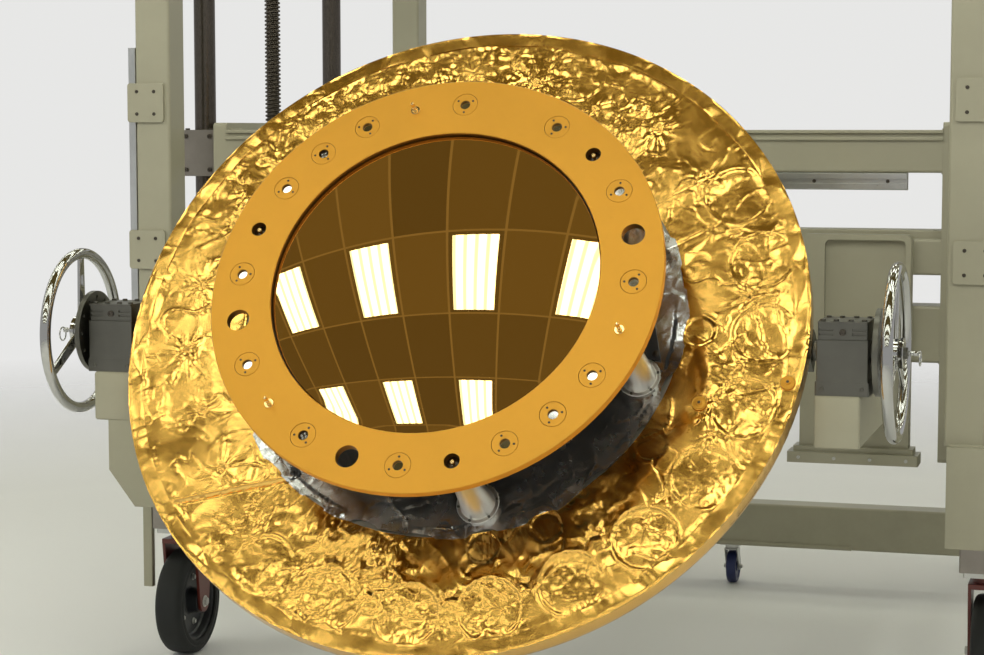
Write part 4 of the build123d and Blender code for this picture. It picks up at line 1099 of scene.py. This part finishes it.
class MIRRORUNIT_OT_ring_stations(bpy.types.Operator):
    """Set the round inserts, their screws and the polished flats into the ring, with its pins"""

    bl_idname = "mirrorunit.ring_stations"
    bl_label = "Ring stations"

    def execute(self, context):
        insert = lathe("insert", [
            (0.0122, 0.0), (0.0280, 0.0), (0.0285, -0.0005), (0.0285, -0.0058),
            (0.0115, -0.0058), (0.0115, -0.0007),
        ], 48, ring=True)
        scatter("station_inserts", insert, stations(TARGETS),
                "gold_plate", "tilt_unit", "target_inserts")
        scatter("station_screws", socket_screw(0.0027, 0.0008, 12),
                round_stations(TARGETS, RING_LEVEL, 3, 180, 0.0200, -0.0003),
                "dark_steel", "tilt_unit")
        flat = lathe("flat", [
            (0.0, -0.0138), (0.0142, -0.0138), (0.0147, -0.0133), (0.0147, -0.0066),
            (0.0142, -0.0061), (0.0, -0.0061),
        ], 40)
        closed = [angle for angle in TARGETS if angle not in OPEN_TARGETS]
        scatter("station_flats", flat, stations(closed),
                "chrome_wheel", "tilt_unit", "target_flats")
        plug = lathe("plug", [
            (0.0, -0.0138), (0.0147, -0.0138), (0.0147, -0.0075), (0.0120, -0.0075),
            (0.0112, -0.0100), (0.0, -0.0100),
        ], 36)
        scatter("station_plugs", plug, stations(OPEN_TARGETS), "dark_steel", "tilt_unit")
        scatter("plug_screws", socket_screw(0.0030, 0.0045, 14),
                round_stations(OPEN_TARGETS, RING_LEVEL, 4, 20, 0.0056, -0.0099),
                "chrome_wheel", "tilt_unit")
        pin = lathe("pin", [
            (0.0, -0.0119), (0.0060, -0.0119), (0.0060, 0.0), (0.0104, 0.0), (0.0110, 0.0006),
            (0.0110, 0.0019), (0.0104, 0.0025), (0.0062, 0.0025), (0.0062, 0.0068),
            (0.0056, 0.0074), (0.0045, 0.0074), (0.0045, 0.0150), (0.0036, 0.0160),
            (0.0036, 0.0180), (0.0045, 0.0190), (0.0045, 0.0255), (0.0036, 0.0285),
            (0.0020, 0.0299), (0.0, 0.0300),
        ], 28)
        scatter("guide_pin_set", pin, stations(PINS),
                "gold_plate", "tilt_unit", "guide_pins", look="polished_gold")
        ball = [(0.0, 0.0), (0.0035, 0.0), (0.0035, 0.0088)]
        ball += [(0.006 * math.sin(t), 0.014 - 0.006 * math.cos(t))
                 for t in np.linspace(0.62, math.pi, 9)[:-1]]
        scatter("adjuster_ball_set", lathe("ball", ball + [(0.0, 0.020)], 24),
                stations(ADJUSTERS, ADJUSTER_LEVEL),
                "gold_plate", "tilt_unit", "adjuster_screws", look="polished_gold")
        well = lathe("well", [
            (0.0037, 0.0001), (0.0168, 0.0001), (0.0172, 0.0005), (0.0165, 0.0009),
            (0.0037, 0.0009),
        ], 36, ring=True)
        scatter("adjuster_wells", well, stations(ADJUSTERS, ADJUSTER_LEVEL),
                "dark_steel", "tilt_unit")
        return {"FINISHED"}


class MIRRORUNIT_OT_legs(bpy.types.Operator):
    """Turn the six conical legs and screw down their feet, the brackets and the tie buttons"""

    bl_idname = "mirrorunit.legs"
    bl_label = "Legs and tie buttons"

    def execute(self, context):
        run = LEG_TOP - LEG_FOOT
        leg = lathe("leg", [
            (0.0, 0.0), (0.0472, 0.0), (0.0480, 0.0008), (0.0480, 0.0070), (0.0470, 0.0080),
            (0.0405, 0.0080), (0.0392, 0.0086), (0.0386, 0.0110), (0.0212, run - 0.0390),
            (0.0210, run - 0.0360), (0.0210, run - 0.0100), (0.0218, run - 0.0084),
            (0.0290, run - 0.0080), (0.0300, run - 0.0072), (0.0300, run - 0.0006),
            (0.0296, run), (0.0, run),
        ], 64)
        scatter("turned_legs", leg, stations(LEGS, LEG_FOOT),
                "bare_aluminium", "tilt_unit", "standoff_legs")
        scatter("leg_foot_screws", socket_screw(0.0030, 0.0032, 12),
                round_stations(LEGS, LEG_FOOT, 6, 30, 0.0437, 0.0079),
                "bearing_steel", "tilt_unit")
        spots = [
            UNIT @ Matrix.Rotation(math.radians(angle), 4, "Z")
            @ Matrix.Translation((0.455 + side, -0.032, 0.0837))
            for angle, side in product(BRACKETS, (-0.015, 0.015))
        ]
        scatter("bracket_screws", hex_screw(0.0058, 0.0052), spots, "dark_steel", "tilt_unit")
        profile = [
            (0.0, -0.0001), (0.0166, -0.0001), (0.0170, 0.0006), (0.0168, 0.0026),
            (0.0158, 0.0030), (0.0146, 0.0024), (0.0128, 0.0020), (0.0112, 0.0026),
            (0.0098, 0.0030), (0.0066, 0.0030), (0.0058, 0.0036), (0.0050, 0.0068),
            (0.0042, 0.0070), (0.0024, 0.0070), (0.0020, 0.0042), (0.0, 0.0042),
        ]
        ties = [(*GOLD_TIES[0], SHIELD_LEVEL), (*GOLD_TIES[1], SHIELD_LEVEL + 0.002)]
        scatter("tie_buttons", lathe("button", profile, 40), [unit_spot(*tie) for tie in ties],
                "gold_plate", "tilt_unit", "blanket_buttons")
        ties.append((*SILVER_TIE, SHIELD_LEVEL + 0.0005))
        spots = [unit_spot(radius, angle, level + 0.0041) for radius, angle, level in ties]
        scatter("button_screws", socket_screw(0.0034, 0.0032, 12), spots,
                "dark_steel", "tilt_unit")
        scatter("silver_tie_button", lathe("button", profile, 40), [unit_spot(*ties[-1])],
                "grey_bracket", "tilt_unit")
        return {"FINISHED"}


class MIRRORUNIT_OT_hand_wheels(bpy.types.Operator):
    """Make the polished hand wheels, their plungers with split rings and the index discs' screws"""

    bl_idname = "mirrorunit.hand_wheels"
    bl_label = "Hand wheels"

    def execute(self, context):
        low, high = half_box("hand_wheels")
        wire = 0.013
        rim_r = (high.y - low.y) / 2 - wire
        parts = [hoop("rim", rim_r, wire, 128, 24)]
        parts.append(lathe("hub", mirrored([
            (0.0223, -0.017), (0.0322, -0.017), (0.0340, -0.0152), (0.0340, -0.0070),
            (0.0320, -0.0055),
        ]), 56, ring=True))
        for k in range(3):
            spoke = block("spoke", (0.031, -0.015, -0.004), (rim_r, 0.015, 0.004), 0.0022, 3)
            pick_faces(spoke, lambda centre, normal: centre.x > rim_r - 0.004)
            bpy.ops.transform.resize(value=(1, 0.72, 1), center_override=(rim_r, 0, 0))
            start_clean()
            turn = Matrix.Rotation(math.pi / 2 + k * 2 * math.pi / 3, 4, "Z")
            parts.append(place(spoke, turn))
        scatter("polished_hand_wheels", joined("wheel", *parts), axle_spots((low.x + high.x) / 2),
                "chrome_wheel", "tilt_unit", "hand_wheels")

        low, high = half_box("pull_pins")
        run = high.x - low.x
        knob = lathe("knob", [
            (0.0, 0.0), (0.0060, 0.0), (0.0060, 0.0060), (0.0046, 0.0070), (0.0046, 0.0120),
            (0.0060, 0.0130), (0.0060, run - 0.0100), (0.0052, run - 0.0070),
            (0.0030, run - 0.0060), (0.0, run - 0.0060),
        ], 28)
        scatter("plunger_knobs", knob, axle_spots(low.x), "chrome_wheel", "tilt_unit")
        scatter("split_rings", hoop("split", 0.0160, 0.0018, 48, 10),
                both_sides(high.x - 0.0036, PIVOT.y, high.z - 0.0178, OUTWARD),
                "chrome_wheel", "tilt_unit", "pull_pins")

        face = half_box("index_discs")[0].x + 0.0118
        spots = []
        for k in range(6):
            y, z = polar(0.058, 30 + 60 * k)
            spots += both_sides(face, PIVOT.y + y, PIVOT.z + z, OUTWARD)
        scatter("index_disc_screws", socket_screw(0.0058, 0.0055, 14), spots,
                "chrome_wheel", "tilt_unit")
        return {"FINISHED"}


class MIRRORUNIT_OT_bearings(bpy.types.Operator):
    """Screw the bearing caps and bases down and cap the arms"""

    bl_idname = "mirrorunit.bearings"
    bl_label = "Bearings and arms"

    def execute(self, context):
        low, high = half_box("bearing_caps")
        middle = (low + high) / 2
        xs, ys = about(middle.x, 0.045, 0.016), about(middle.y, 0.048)
        scatter("cap_screws", socket_screw(0.0060, 0.0040, 16),
                grid(xs, ys, [high.z - SINK], UPRIGHT), "bearing_steel", "lift_head")
        scatter("cap_pad_screws", socket_screw(0.0075, 0.0032, 20),
                both_sides(middle.x, low.y + 0.0050, middle.z - 0.003, FRONTWARD),
                "dark_steel", "lift_head")
        low, high = half_box("bearing_bases")
        spots = grid(inside(low.x, high.x, 0.016), [low.y + SINK], [low.z + 0.015], FRONTWARD)
        scatter("base_screws", socket_screw(0.0050, 0.0026, 16), spots,
                "bearing_steel", "lift_head")
        low, high = half_box("arms")
        plates = []
        for side in (1, -1):
            x0, x1 = sorted(side * x for x in inside(low.x, high.x, 0.002))
            corners = (x0, low.y - 0.0035, low.z + 0.002), (x1, low.y + 0.004, high.z - 0.002)
            plates.append(block("arm_plate", *corners, 0.0016))
        dress(joined("arm_end_plates", *plates), "stand_paint", "lift_head")
        return {"FINISHED"}


class MIRRORUNIT_OT_crosshead(bpy.types.Operator):
    """Bolt the side plates, guide blocks, slotted rail and end boxes of the lifting head"""

    bl_idname = "mirrorunit.crosshead"
    bl_label = "Lifting head hardware"

    def execute(self, context):
        low, high = half_box("guide_blocks")
        xs = inside(low.x, high.x, 0.014)
        zs = inside(low.z, high.z, 0.018, 0.112)
        spots = grid(xs, [low.y + SINK], zs, FRONTWARD) + grid(xs, [high.y - SINK], zs, BACKWARD)
        spots += grid(xs, inside(low.y, high.y, 0.012, 0.098), [high.z - SINK], UPRIGHT)
        scatter("guide_block_screws", socket_screw(0.0065, 0.0045, 16), spots,
                "dark_steel", "lift_head")
        low, high = half_box("side_plates")
        beam_bolts = [0.94, 0.98, 1.30, 1.34]
        zs = inside(low.z, high.z, 0.11) + [low.z + 0.05, high.z - 0.04] + beam_bolts
        spots = grid([high.x - SINK], inside(low.y, high.y, 0.035, 0.085), zs, OUTWARD)
        scatter("side_plate_bolts", hex_screw(0.0085, 0.0080), spots, "zinc_steel", "lift_head")
        low, high = half_box("slot_rail")
        xs = [0.09 + 0.19 * k for k in range(5)]
        spots = grid(xs, [low.y + 0.0100], [(low.z + high.z) / 2], FRONTWARD)
        scatter("slot_rail_screws", socket_screw(0.0048, 0.0040, 14), spots,
                "dark_steel", "lift_head")
        low, high = half_box("end_boxes")
        xs = np.linspace(low.x + 0.03, high.x - 0.03, 4)
        spots = grid(xs, [low.y + 0.0004], [low.z + 0.014], FRONTWARD)
        scatter("end_box_screws", socket_screw(0.0045, 0.0030, 14), spots,
                "zinc_steel", "lift_head")
        return {"FINISHED"}


class MIRRORUNIT_OT_towers(bpy.types.Operator):
    """Turn the guide rods and cut the lead screws' thread, and bolt the towers together"""

    bl_idname = "mirrorunit.towers"
    bl_label = "Towers"

    def execute(self, context):
        sizes = context.scene.unit_sizes
        low, high = half_box("guide_rods")
        run, rod_r = high.z - low.z, (high.x - low.x) / 2
        rod = lathe("rod", [
            (0.0, 0.0), (rod_r - 0.001, 0.0), (rod_r, 0.001), (rod_r, run - 0.001),
            (rod_r - 0.001, run), (0.0, run),
        ], 64)
        spots = [
            Matrix.Translation((side * (low.x + high.x) / 2, y, low.z))
            for side, y in product((1, -1), (low.y + rod_r, high.y - rod_r))
        ]
        scatter("ground_guide_rods", rod, spots, "dark_steel", "stand_base", "guide_rods")

        low, high = half_box("lead_screws")
        middle = (low + high) / 2
        screw_r, pitch = (high.x - low.x) / 2, sizes.screw_pitch
        core = screw_r - sizes.thread_depth
        turns = int((high.z - low.z - 0.030) / pitch)
        start_z = low.z + 0.012
        thread = draw_profile("thread", [
            (core, 0.0), (core + 0.0006, pitch * 0.08), (screw_r - 0.0004, pitch * 0.24),
            (screw_r, pitch * 0.30), (screw_r, pitch * 0.56), (screw_r - 0.0004, pitch * 0.62),
            (core + 0.0006, pitch * 0.80), (core, pitch),
        ])
        apply(thread, "SCREW", steps=18, render_steps=18, angle=2 * math.pi, screw_offset=pitch,
              iterations=turns, axis="Z", use_merge_vertices=False, use_normal_calculate=True)
        edit_all(thread)
        close_up(0.00002)
        smooth(thread, 40)
        tail = high.z - start_z - turns * pitch
        end = lathe("end", [
            (0.0, 0.0), (core, 0.0), (core, 0.0122), (core, 0.0125), (0.0, 0.0125),
        ], 36)
        top = lathe("top", [
            (0.0, 0.0), (core, 0.0), (core + 0.002, 0.001), (core + 0.002, tail + pitch),
            (0.0, tail + pitch),
        ], 36)
        for name, pattern, level, replaced in (
            ("threaded_screws", thread, start_z, ["lead_screws"]),
            ("screw_lower_ends", end, low.z, []),
            ("screw_upper_ends", top, high.z - tail - pitch, []),
        ):
            spots = [Matrix.Translation((side * middle.x, middle.y, level)) for side in (1, -1)]
            scatter(name, pattern, spots, "dark_steel", "stand_base", *replaced)

        low, high = half_box("clamp_plates")
        zs = [z + gap for z in inside(low.z, high.z, 0.0525) for gap in (-0.030, 0.030)]
        spots = grid(about((low.x + high.x) / 2, 0.025), [low.y + 0.0003], zs, FRONTWARD)
        scatter("clamp_plate_screws", socket_screw(0.0048, 0.0014, 16), spots,
                "dark_steel", "stand_base")

        low, high = half_box("side_rails")
        pads, margin = (-0.494, 0.0, 0.566, 1.126, 1.6256), 0.02
        ys = [y for pad in pads for y in about(pad, 0.075) if low.y + margin < y < high.y - margin]
        spots = grid(inside(low.x, high.x, 0.022), ys, [high.z - SINK], UPRIGHT)
        scatter("rail_bolts", hex_screw(0.0085, 0.0080), spots, "zinc_steel", "stand_base")
        return {"FINISHED"}


def corner_place(point, first, second, thickness):
    """Matrix that sets a corner plate's right angle at a point, with its legs along two ways."""
    first, second = Vector(first), Vector(second)
    turned = Matrix((first, second.cross(first), second)).transposed().to_4x4()
    return Matrix.Translation(point) @ turned @ Matrix.Translation((0, -thickness / 2, 0))


class MIRRORUNIT_OT_frame_joints(bpy.types.Operator):
    """Add the corner plates of the stand's frame and the weld beads along its joints"""

    bl_idname = "mirrorunit.frame_joints"
    bl_label = "Frame joints"

    def execute(self, context):
        run, clip, thickness = 0.130, 0.014, 0.010
        corners = [(0, 0), (run, 0), (run, clip), (clip, run), (0, run), (0, 0)]
        plate = draw_profile("corner", corners)
        close_up()
        bpy.ops.mesh.select_all(action="SELECT")
        bpy.ops.mesh.edge_face_add()
        bpy.ops.mesh.extrude_region_move(TRANSFORM_OT_translate={"value": (0, thickness, 0)})
        bpy.ops.mesh.select_all(action="SELECT")
        bpy.ops.mesh.normals_make_consistent(inside=False)
        bpy.ops.mesh.bevel(offset=0.0014, segments=2, affect="EDGES")
        smooth(plate)
        low, high = half_box("tower_posts")
        foot, head, half = low.z, high.z, POST_WIDTH / 2
        front, rear = low.y + POST_WIDTH, high.y - POST_WIDTH
        posts = front - half, rear + half
        spots = []
        for side in (-1, 1):
            middle = side * (low.x + half)
            for (y, away), (z, up) in product(((front, 1), (rear, -1)), ((head, -1), (foot, 1))):
                spots.append(corner_place((middle, y, z), (0, away, 0), (0, 0, up), thickness))
            for y in posts:
                point = side * low.x, y, head
                spots.append(corner_place(point, (-side, 0, 0), (0, 0, -1), thickness))
        scatter("corner_gussets", plate, spots, "stand_paint", "stand_base")

        bead, ripples = 0.088, 22
        profile = [(0.0, -bead / 2), (0.0030, -bead / 2 + 0.0008)]
        profile += [(0.0040 + 0.0011 * (k % 2), bead * (k / ripples - 0.5))
                    for k in range(1, ripples)]
        profile += [(0.0030, bead / 2 - 0.0008), (0.0, bead / 2)]
        side_rail_x, rail_x = 1.085, half_box("top_rails")[0].x
        tie_low, tie_high = half_box("top_ties")
        ties = posts[0], sum(half_box("cross_shafts"), Vector()).y / 2, posts[1]
        tie_edges = front, ties[1] - half, ties[1] + half, rear
        drop_low, drop_high = half_box("drop_plates")
        drop_welds = 0.530, 0.638
        beam_top = half_box("low_beam")[1].z
        beam_low, beam_high = half_box("crosshead_beams")
        end, half_beam, inset = [beam_high.x], BEAM_DEPTH / 2, 0.009
        ahead, behind = beam_low.y + inset + half_beam, beam_high.y - half_beam
        for name, body, rows in (
            ("frame_weld_beads", "stand_base", (
                ([side_rail_x], (low.y, front, rear, high.y), [foot], OUTWARD),
                ([high.x], posts, (foot, head), BACKWARD),
                ([low.x + half], (front, rear), [head], OUTWARD),
                ([rail_x], ties, inside(tie_low.z, tie_high.z, 0.0014), BACKWARD),
                ([rail_x], tie_edges, [(tie_low.z + tie_high.z) / 2], UPRIGHT),
                ([drop_high.x], (drop_low.y, drop_high.y), drop_welds, UPRIGHT),
                ([drop_low.x], [(drop_low.y + drop_high.y) / 2], [beam_top], BACKWARD),
            )),
            ("crosshead_weld_beads", "lift_head", (
                (end, (ahead, behind), (beam_high.z, BEAM_SHELF), BACKWARD),
                (end, [ahead], [beam_low.z], BACKWARD),
                (end, (ahead + half_beam, behind - half_beam, behind + half_beam),
                 [(beam_high.z + BEAM_SHELF) / 2], UPRIGHT),
            )),
        ):
            spots = [spot for row in rows for spot in grid(*row)]
            scatter(name, lathe("bead", profile, 8, soft=80), spots, "stand_paint", body)
        return {"FINISHED"}


class MIRRORUNIT_OT_lift_drive(bpy.types.Operator):
    """Add the bolts, couplings and covers of the lift's drive"""

    bl_idname = "mirrorunit.lift_drive"
    bl_label = "Lift drive"

    def execute(self, context):
        low, high = half_box("screw_gearboxes")
        middle, face = (low + high) / 2, low.y + 0.0001
        spots = grid(about(middle.x, 0.046), [face], about(middle.z, 0.043), FRONTWARD)
        scatter("gearbox_screws", socket_screw(0.0065, 0.0090, 16), spots,
                "zinc_steel", "stand_base")
        cover = lathe("cover", [
            (0.0, 0.0), (0.042, 0.0), (0.044, 0.0015), (0.044, 0.006), (0.038, 0.008),
            (0.030, 0.008), (0.028, 0.0095), (0.0, 0.0095),
        ], 48)
        scatter("gearbox_covers", cover, both_sides(middle.x, face, middle.z, FRONTWARD),
                "motor_grey", "stand_base")
        low, high = half_box("cross_shafts")
        middle, bore = (low + high) / 2, (high.z - low.z) / 2 - 0.0001
        coupling = lathe("coupling", mirrored([
            (bore, -0.030), (0.0235, -0.030), (0.025, -0.0285), (0.025, -0.004), (0.0222, -0.002),
        ]), 40, ring=True)
        scatter("shaft_couplings", coupling,
                grid((0.200, 0.930), [middle.y], [middle.z], OUTWARD), "zinc_steel", "stand_base")
        return {"FINISHED"}


def wheel_middle(node):
    """Middle and half width of a wheel's node."""
    low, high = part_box(node)
    return (low + high) / 2, (high.x - low.x) / 2


def turned_part(name, node, middle, profile, steps, slot):
    """Turn a part of a wheel round its middle in place of a node."""
    piece = lathe(name, mirrored(profile), steps, facing(middle, OUTWARD), ring=True)
    dress(piece, slot, BODY_OF[node], node)


def both_faces(middle, out, radius=0.0, count=1):
    """Places in a circle on both faces of a wheel."""
    return [
        facing(middle + Vector((face * out, *polar(radius, 360 / count * k))), (face, 0, 0))
        for k, face in product(range(count), (1, -1))
    ]


class MIRRORUNIT_OT_castors(bpy.types.Operator):
    """Mould the tyres, turn the wheel centres and bolt the castors"""

    bl_idname = "mirrorunit.castors"
    bl_label = "Castors"

    def execute(self, context):
        tyre, rim = 0.150, 0.1120
        for end, side in product(("front", "rear"), ("left", "right")):
            node = f"{end}_tyre_{side}"
            middle, half = wheel_middle(node)
            turned_part(f"moulded_{node}", node, middle, [
                (rim, -half + 0.004), (rim + 0.004, -half), (rim + 0.012, -half),
                (rim + 0.014, -half + 0.0012), (rim + 0.017, -half + 0.0012),
                (rim + 0.019, -half), (tyre - 0.016, -half + 0.0004),
                (tyre - 0.008, -half + 0.003), (tyre - 0.003, -half + 0.008),
                (tyre - 0.0005, -half + 0.015), (tyre, -half * 0.4),
            ], 96, "tyre_rubber")
            node = f"{end}_rim_{side}"
            half = wheel_middle(node)[1]
            turned_part(f"turned_{node}", node, middle, [
                (0.0102, -half), (0.0330, -half), (0.0340, -half + 0.001),
                (0.0340, -half + 0.014), (0.0380, -0.010), (0.0420, -0.007), (0.0950, -0.007),
                (0.1000, -0.012), (0.1020, -0.0280), (0.1040, -0.0310), (0.1117, -0.0310),
            ], 72, "wheel_centre")
            scatter(f"{end}_rim_bolts_{side}", hex_screw(0.0070, 0.0075),
                    both_faces(middle, 0.0068, 0.068, 5), "zinc_steel", BODY_OF[node])
            fork = "front_forks" if end == "front" else f"rear_fork_{side}"
            scatter(f"{end}_axle_nuts_{side}", hex_screw(0.0120, 0.0085),
                    both_faces(middle, 0.0526), "zinc_steel", BODY_OF[fork])
        for side in ("left", "right"):
            node = f"small_wheel_{side}"
            middle, half = wheel_middle(node)
            turned_part(f"moulded_{node}", node, middle, [
                (0.0052, -half + 0.001), (0.0160, -half + 0.001), (0.0170, -half + 0.004),
                (0.0400, -half + 0.004), (0.0420, -half), (0.0490, -half),
                (0.0530, -half + 0.003), (0.0550, -half + 0.008),
            ], 56, "small_wheel_blue")
            scatter(f"small_axle_nuts_{side}", hex_screw(0.0065, 0.0055),
                    both_faces(middle, 0.0249), "zinc_steel", BODY_OF[f"small_fork_{side}"])
        return {"FINISHED"}


class MIRRORUNIT_OT_back_frame(bpy.types.Operator):
    """Bolt the frame behind the shield"""

    bl_idname = "mirrorunit.back_frame"
    bl_label = "Back frame hardware"

    def execute(self, context):
        radii, turn = (0.575, 0.545), Matrix.Rotation(math.pi, 4, "X")
        spots = [
            unit_spot(radii[k % 2], POCKET_STEP * (k + 0.5), -0.0038) @ turn for k in range(24)
        ]
        scatter("frame_ring_bolts", hex_screw(0.0085, 0.0075), spots, "zinc_steel", "tilt_unit")
        return {"FINISHED"}


class MIRRORUNIT_OT_stage(bpy.types.Operator):
    """Set the floor, the ceiling with its lamps, the soft room light and the camera"""

    bl_idname = "mirrorunit.stage"
    bl_label = "Studio"

    def execute(self, context):
        scene = context.scene
        tones, sizes = scene.unit_colours, scene.stage_sizes
        start_clean()
        bpy.ops.mesh.primitive_circle_add(vertices=96, radius=30, fill_type="NGON")
        floor = context.object
        floor.name = "studio_floor"
        ground = Finish("studio_floor", tuple(tones.floor), Roughness=0.55)
        cloud = ground.ramp(ground.noise(0.6, 4), 0.2, 0.8, 0.97, 1.02)
        ground.set("Base Color", ground.shade(cloud))
        away = ground.span(*ground.split(ground.place)[:2])
        ground.set("Alpha", ground.ramp(away, sizes.floor_start, sizes.floor_end, 1.0, 0.0))
        floor.data.materials.append(ground.material)

        # The ceiling's grid as the mirror shows it, with a lamp in every second tile each way
        first_x, first_y = -2.728, PIVOT.y - 1.394
        wide, deep, inset = sizes.tile_width, sizes.tile_length, sizes.lamp_inset
        columns, rows = range(-9, 19, 2), range(-6, 10, 2)
        lamps = [
            (first_x + wide * i + inset, first_x + wide * (i + 1) - inset,
             first_y - deep * (j + 1) + inset, first_y - deep * j - inset)
            for i, j in product(columns, rows)
        ]
        tiles = [(
            first_x + columns.start * wide, first_x + columns.stop * wide,
            first_y - rows.stop * deep, first_y + (1 - rows.start) * deep,
        )]
        for name, panels, gap in (("lamp_panels", lamps, 0.0), ("ceiling_tiles", tiles, 0.004)):
            level = sizes.ceiling_height + gap
            points = [(x, y, level) for x0, x1, y0, y1 in panels
                      for x, y in ((x0, y0), (x0, y1), (x1, y1), (x1, y0))]
            faces = [tuple(range(at, at + 4)) for at in range(0, len(points), 4)]
            panel = mesh_piece(name, points, faces)
            panel.visible_camera = False
            glow = Finish(name, (0.0, 0.0, 0.0), Roughness=1.0)
            across, along, _ = glow.split(glow.place)
            column, row = (across - first_x) / wide, (along - first_y) / deep
            if name == "lamp_panels":
                tubes = 4 / (wide - 2 * inset)
                share = glow.maths("FRACT", (column * wide - inset) * tubes)
                tube = glow.ramp(glow.maths("ABSOLUTE", share - 0.5), 0.26, 0.40)
                shown = glow.mix(tube, (1.0, 1.0, 0.86), (0.28, 0.36, 0.34))
            else:
                off_x, off_y = (
                    glow.maths("ABSOLUTE", glow.maths("FRACT", value + 0.5) - 0.5)
                    for value in (column, row)
                )
                bar = glow.maths("MAXIMUM", off_x < 0.021, off_y < 0.0105)
                corner = {0: glow.maths("FLOOR", column), 1: glow.maths("FLOOR", row)}
                cell = glow.node("ShaderNodeCombineXYZ", None, corner)
                flat = {"noise_dimensions": "2D"}
                chance = glow.node("ShaderNodeTexWhiteNoise", flat, {"Vector": cell})
                tile = glow.shade(glow.ramp(chance, 0.0, 1.0, 0.78, 1.18), (0.118, 0.086, 0.022))
                shown = glow.mix(bar, tile, (0.225, 0.172, 0.062))
            glow.set("Emission Color", shown)
            glow.set("Emission Strength", sizes.lamp_strength if name == "lamp_panels" else 1.0)
            panel.data.materials.append(glow.material)

        # The camera sees a brighter room than the object is lit by
        world = bpy.data.worlds.new("studio_room")
        world.use_nodes = True
        tree = world.node_tree
        back = tree.nodes["Background"]
        back.inputs["Color"].default_value = tuple(tones.room) + (1.0,)
        path, seen, level = (
            tree.nodes.new(kind)
            for kind in ("ShaderNodeLightPath", "ShaderNodeMath", "ShaderNodeMix")
        )
        seen.operation = "ADD"
        seen.use_clamp = True
        level.inputs[2].default_value = sizes.room_strength
        level.inputs[3].default_value = 1.0
        for source, target in (
            (path.outputs["Is Camera Ray"], seen.inputs[0]),
            (path.outputs["Is Transmission Ray"], seen.inputs[1]),
            (seen.outputs[0], level.inputs[0]),
            (level.outputs[0], back.inputs["Strength"]),
        ):
            tree.links.new(source, target)
        scene.world = world

        for name, energy, spot, aim in (
            ("top_softbox", 115, (0.3, PIVOT.y - 2.4, 4.1), (0, PIVOT.y, 1.0)),
            ("side_softbox", 40, (-4.5, PIVOT.y - 2.0, 2.6), (0, PIVOT.y + 0.6, 1.0)),
        ):
            lamp = bpy.data.lights.new(name, "AREA")
            lamp.energy, lamp.size = energy, 3.0
            holder = self.set_up(lamp, spot, Vector(aim) - Vector(spot))
            holder.visible_glossy = False

        scene.view_settings.view_transform = "Standard"
        camera = bpy.data.cameras.new("photo_camera")
        camera.sensor_width, camera.lens, camera.clip_end = 36.0, 81.47, 100
        camera.dof.use_dof = False
        spot = 1.507, PIVOT.y - 4.886, PIVOT.z + 0.485
        scene.camera = self.set_up(camera, spot, Vector((-0.2829, 0.9551, -0.0884)))
        return {"FINISHED"}

    def set_up(self, data, spot, look):
        """Stand a lamp or a camera in the studio, looking one way."""
        holder = bpy.data.objects.new(data.name, data)
        holder.location = spot
        holder.rotation_euler = look.to_track_quat("-Z", "Y").to_euler()
        bpy.context.collection.objects.link(holder)
        return holder


class MIRRORUNIT_PT_panel(bpy.types.Panel):
    """Lists the pieces of the mirror unit and its stand"""

    bl_idname = "MIRRORUNIT_PT_panel"
    bl_label = "Mirror Unit"
    bl_space_type = "VIEW_3D"
    bl_region_type = "UI"
    bl_category = "Mirror Unit"

    def draw(self, context):
        layout = self.layout
        for settings, group in GROUPS.items():
            box = layout.box()
            for name in group.__annotations__:
                box.prop(getattr(context.scene, settings), name)
        for operator in PIECES:
            layout.operator(operator.bl_idname)


GROUPS = {"unit_sizes": UnitSizes, "unit_colours": UnitColours, "stage_sizes": StageSizes}
PIECES = (
    MIRRORUNIT_OT_finishes,
    MIRRORUNIT_OT_mirror,
    MIRRORUNIT_OT_gold_foil,
    MIRRORUNIT_OT_silver_foil,
    MIRRORUNIT_OT_hem,
    MIRRORUNIT_OT_ring_stations,
    MIRRORUNIT_OT_legs,
    MIRRORUNIT_OT_hand_wheels,
    MIRRORUNIT_OT_bearings,
    MIRRORUNIT_OT_crosshead,
    MIRRORUNIT_OT_towers,
    MIRRORUNIT_OT_frame_joints,
    MIRRORUNIT_OT_lift_drive,
    MIRRORUNIT_OT_castors,
    MIRRORUNIT_OT_back_frame,
    MIRRORUNIT_OT_stage,
)
CLASSES = (*GROUPS.values(), *PIECES, MIRRORUNIT_PT_panel)


def register():
    for kind in CLASSES:
        bpy.utils.register_class(kind)
    for settings, group in GROUPS.items():
        setattr(bpy.types.Scene, settings, bpy.props.PointerProperty(type=group))


def unregister():
    for settings in GROUPS:
        delattr(bpy.types.Scene, settings)
    for kind in reversed(CLASSES):
        bpy.utils.unregister_class(kind)


def main():
    """Register the add-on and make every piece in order."""
    register()
    for operator in PIECES:
        family, name = operator.bl_idname.split(".")
        getattr(getattr(bpy.ops, family), name)()


if __name__ == "__main__":
    main()
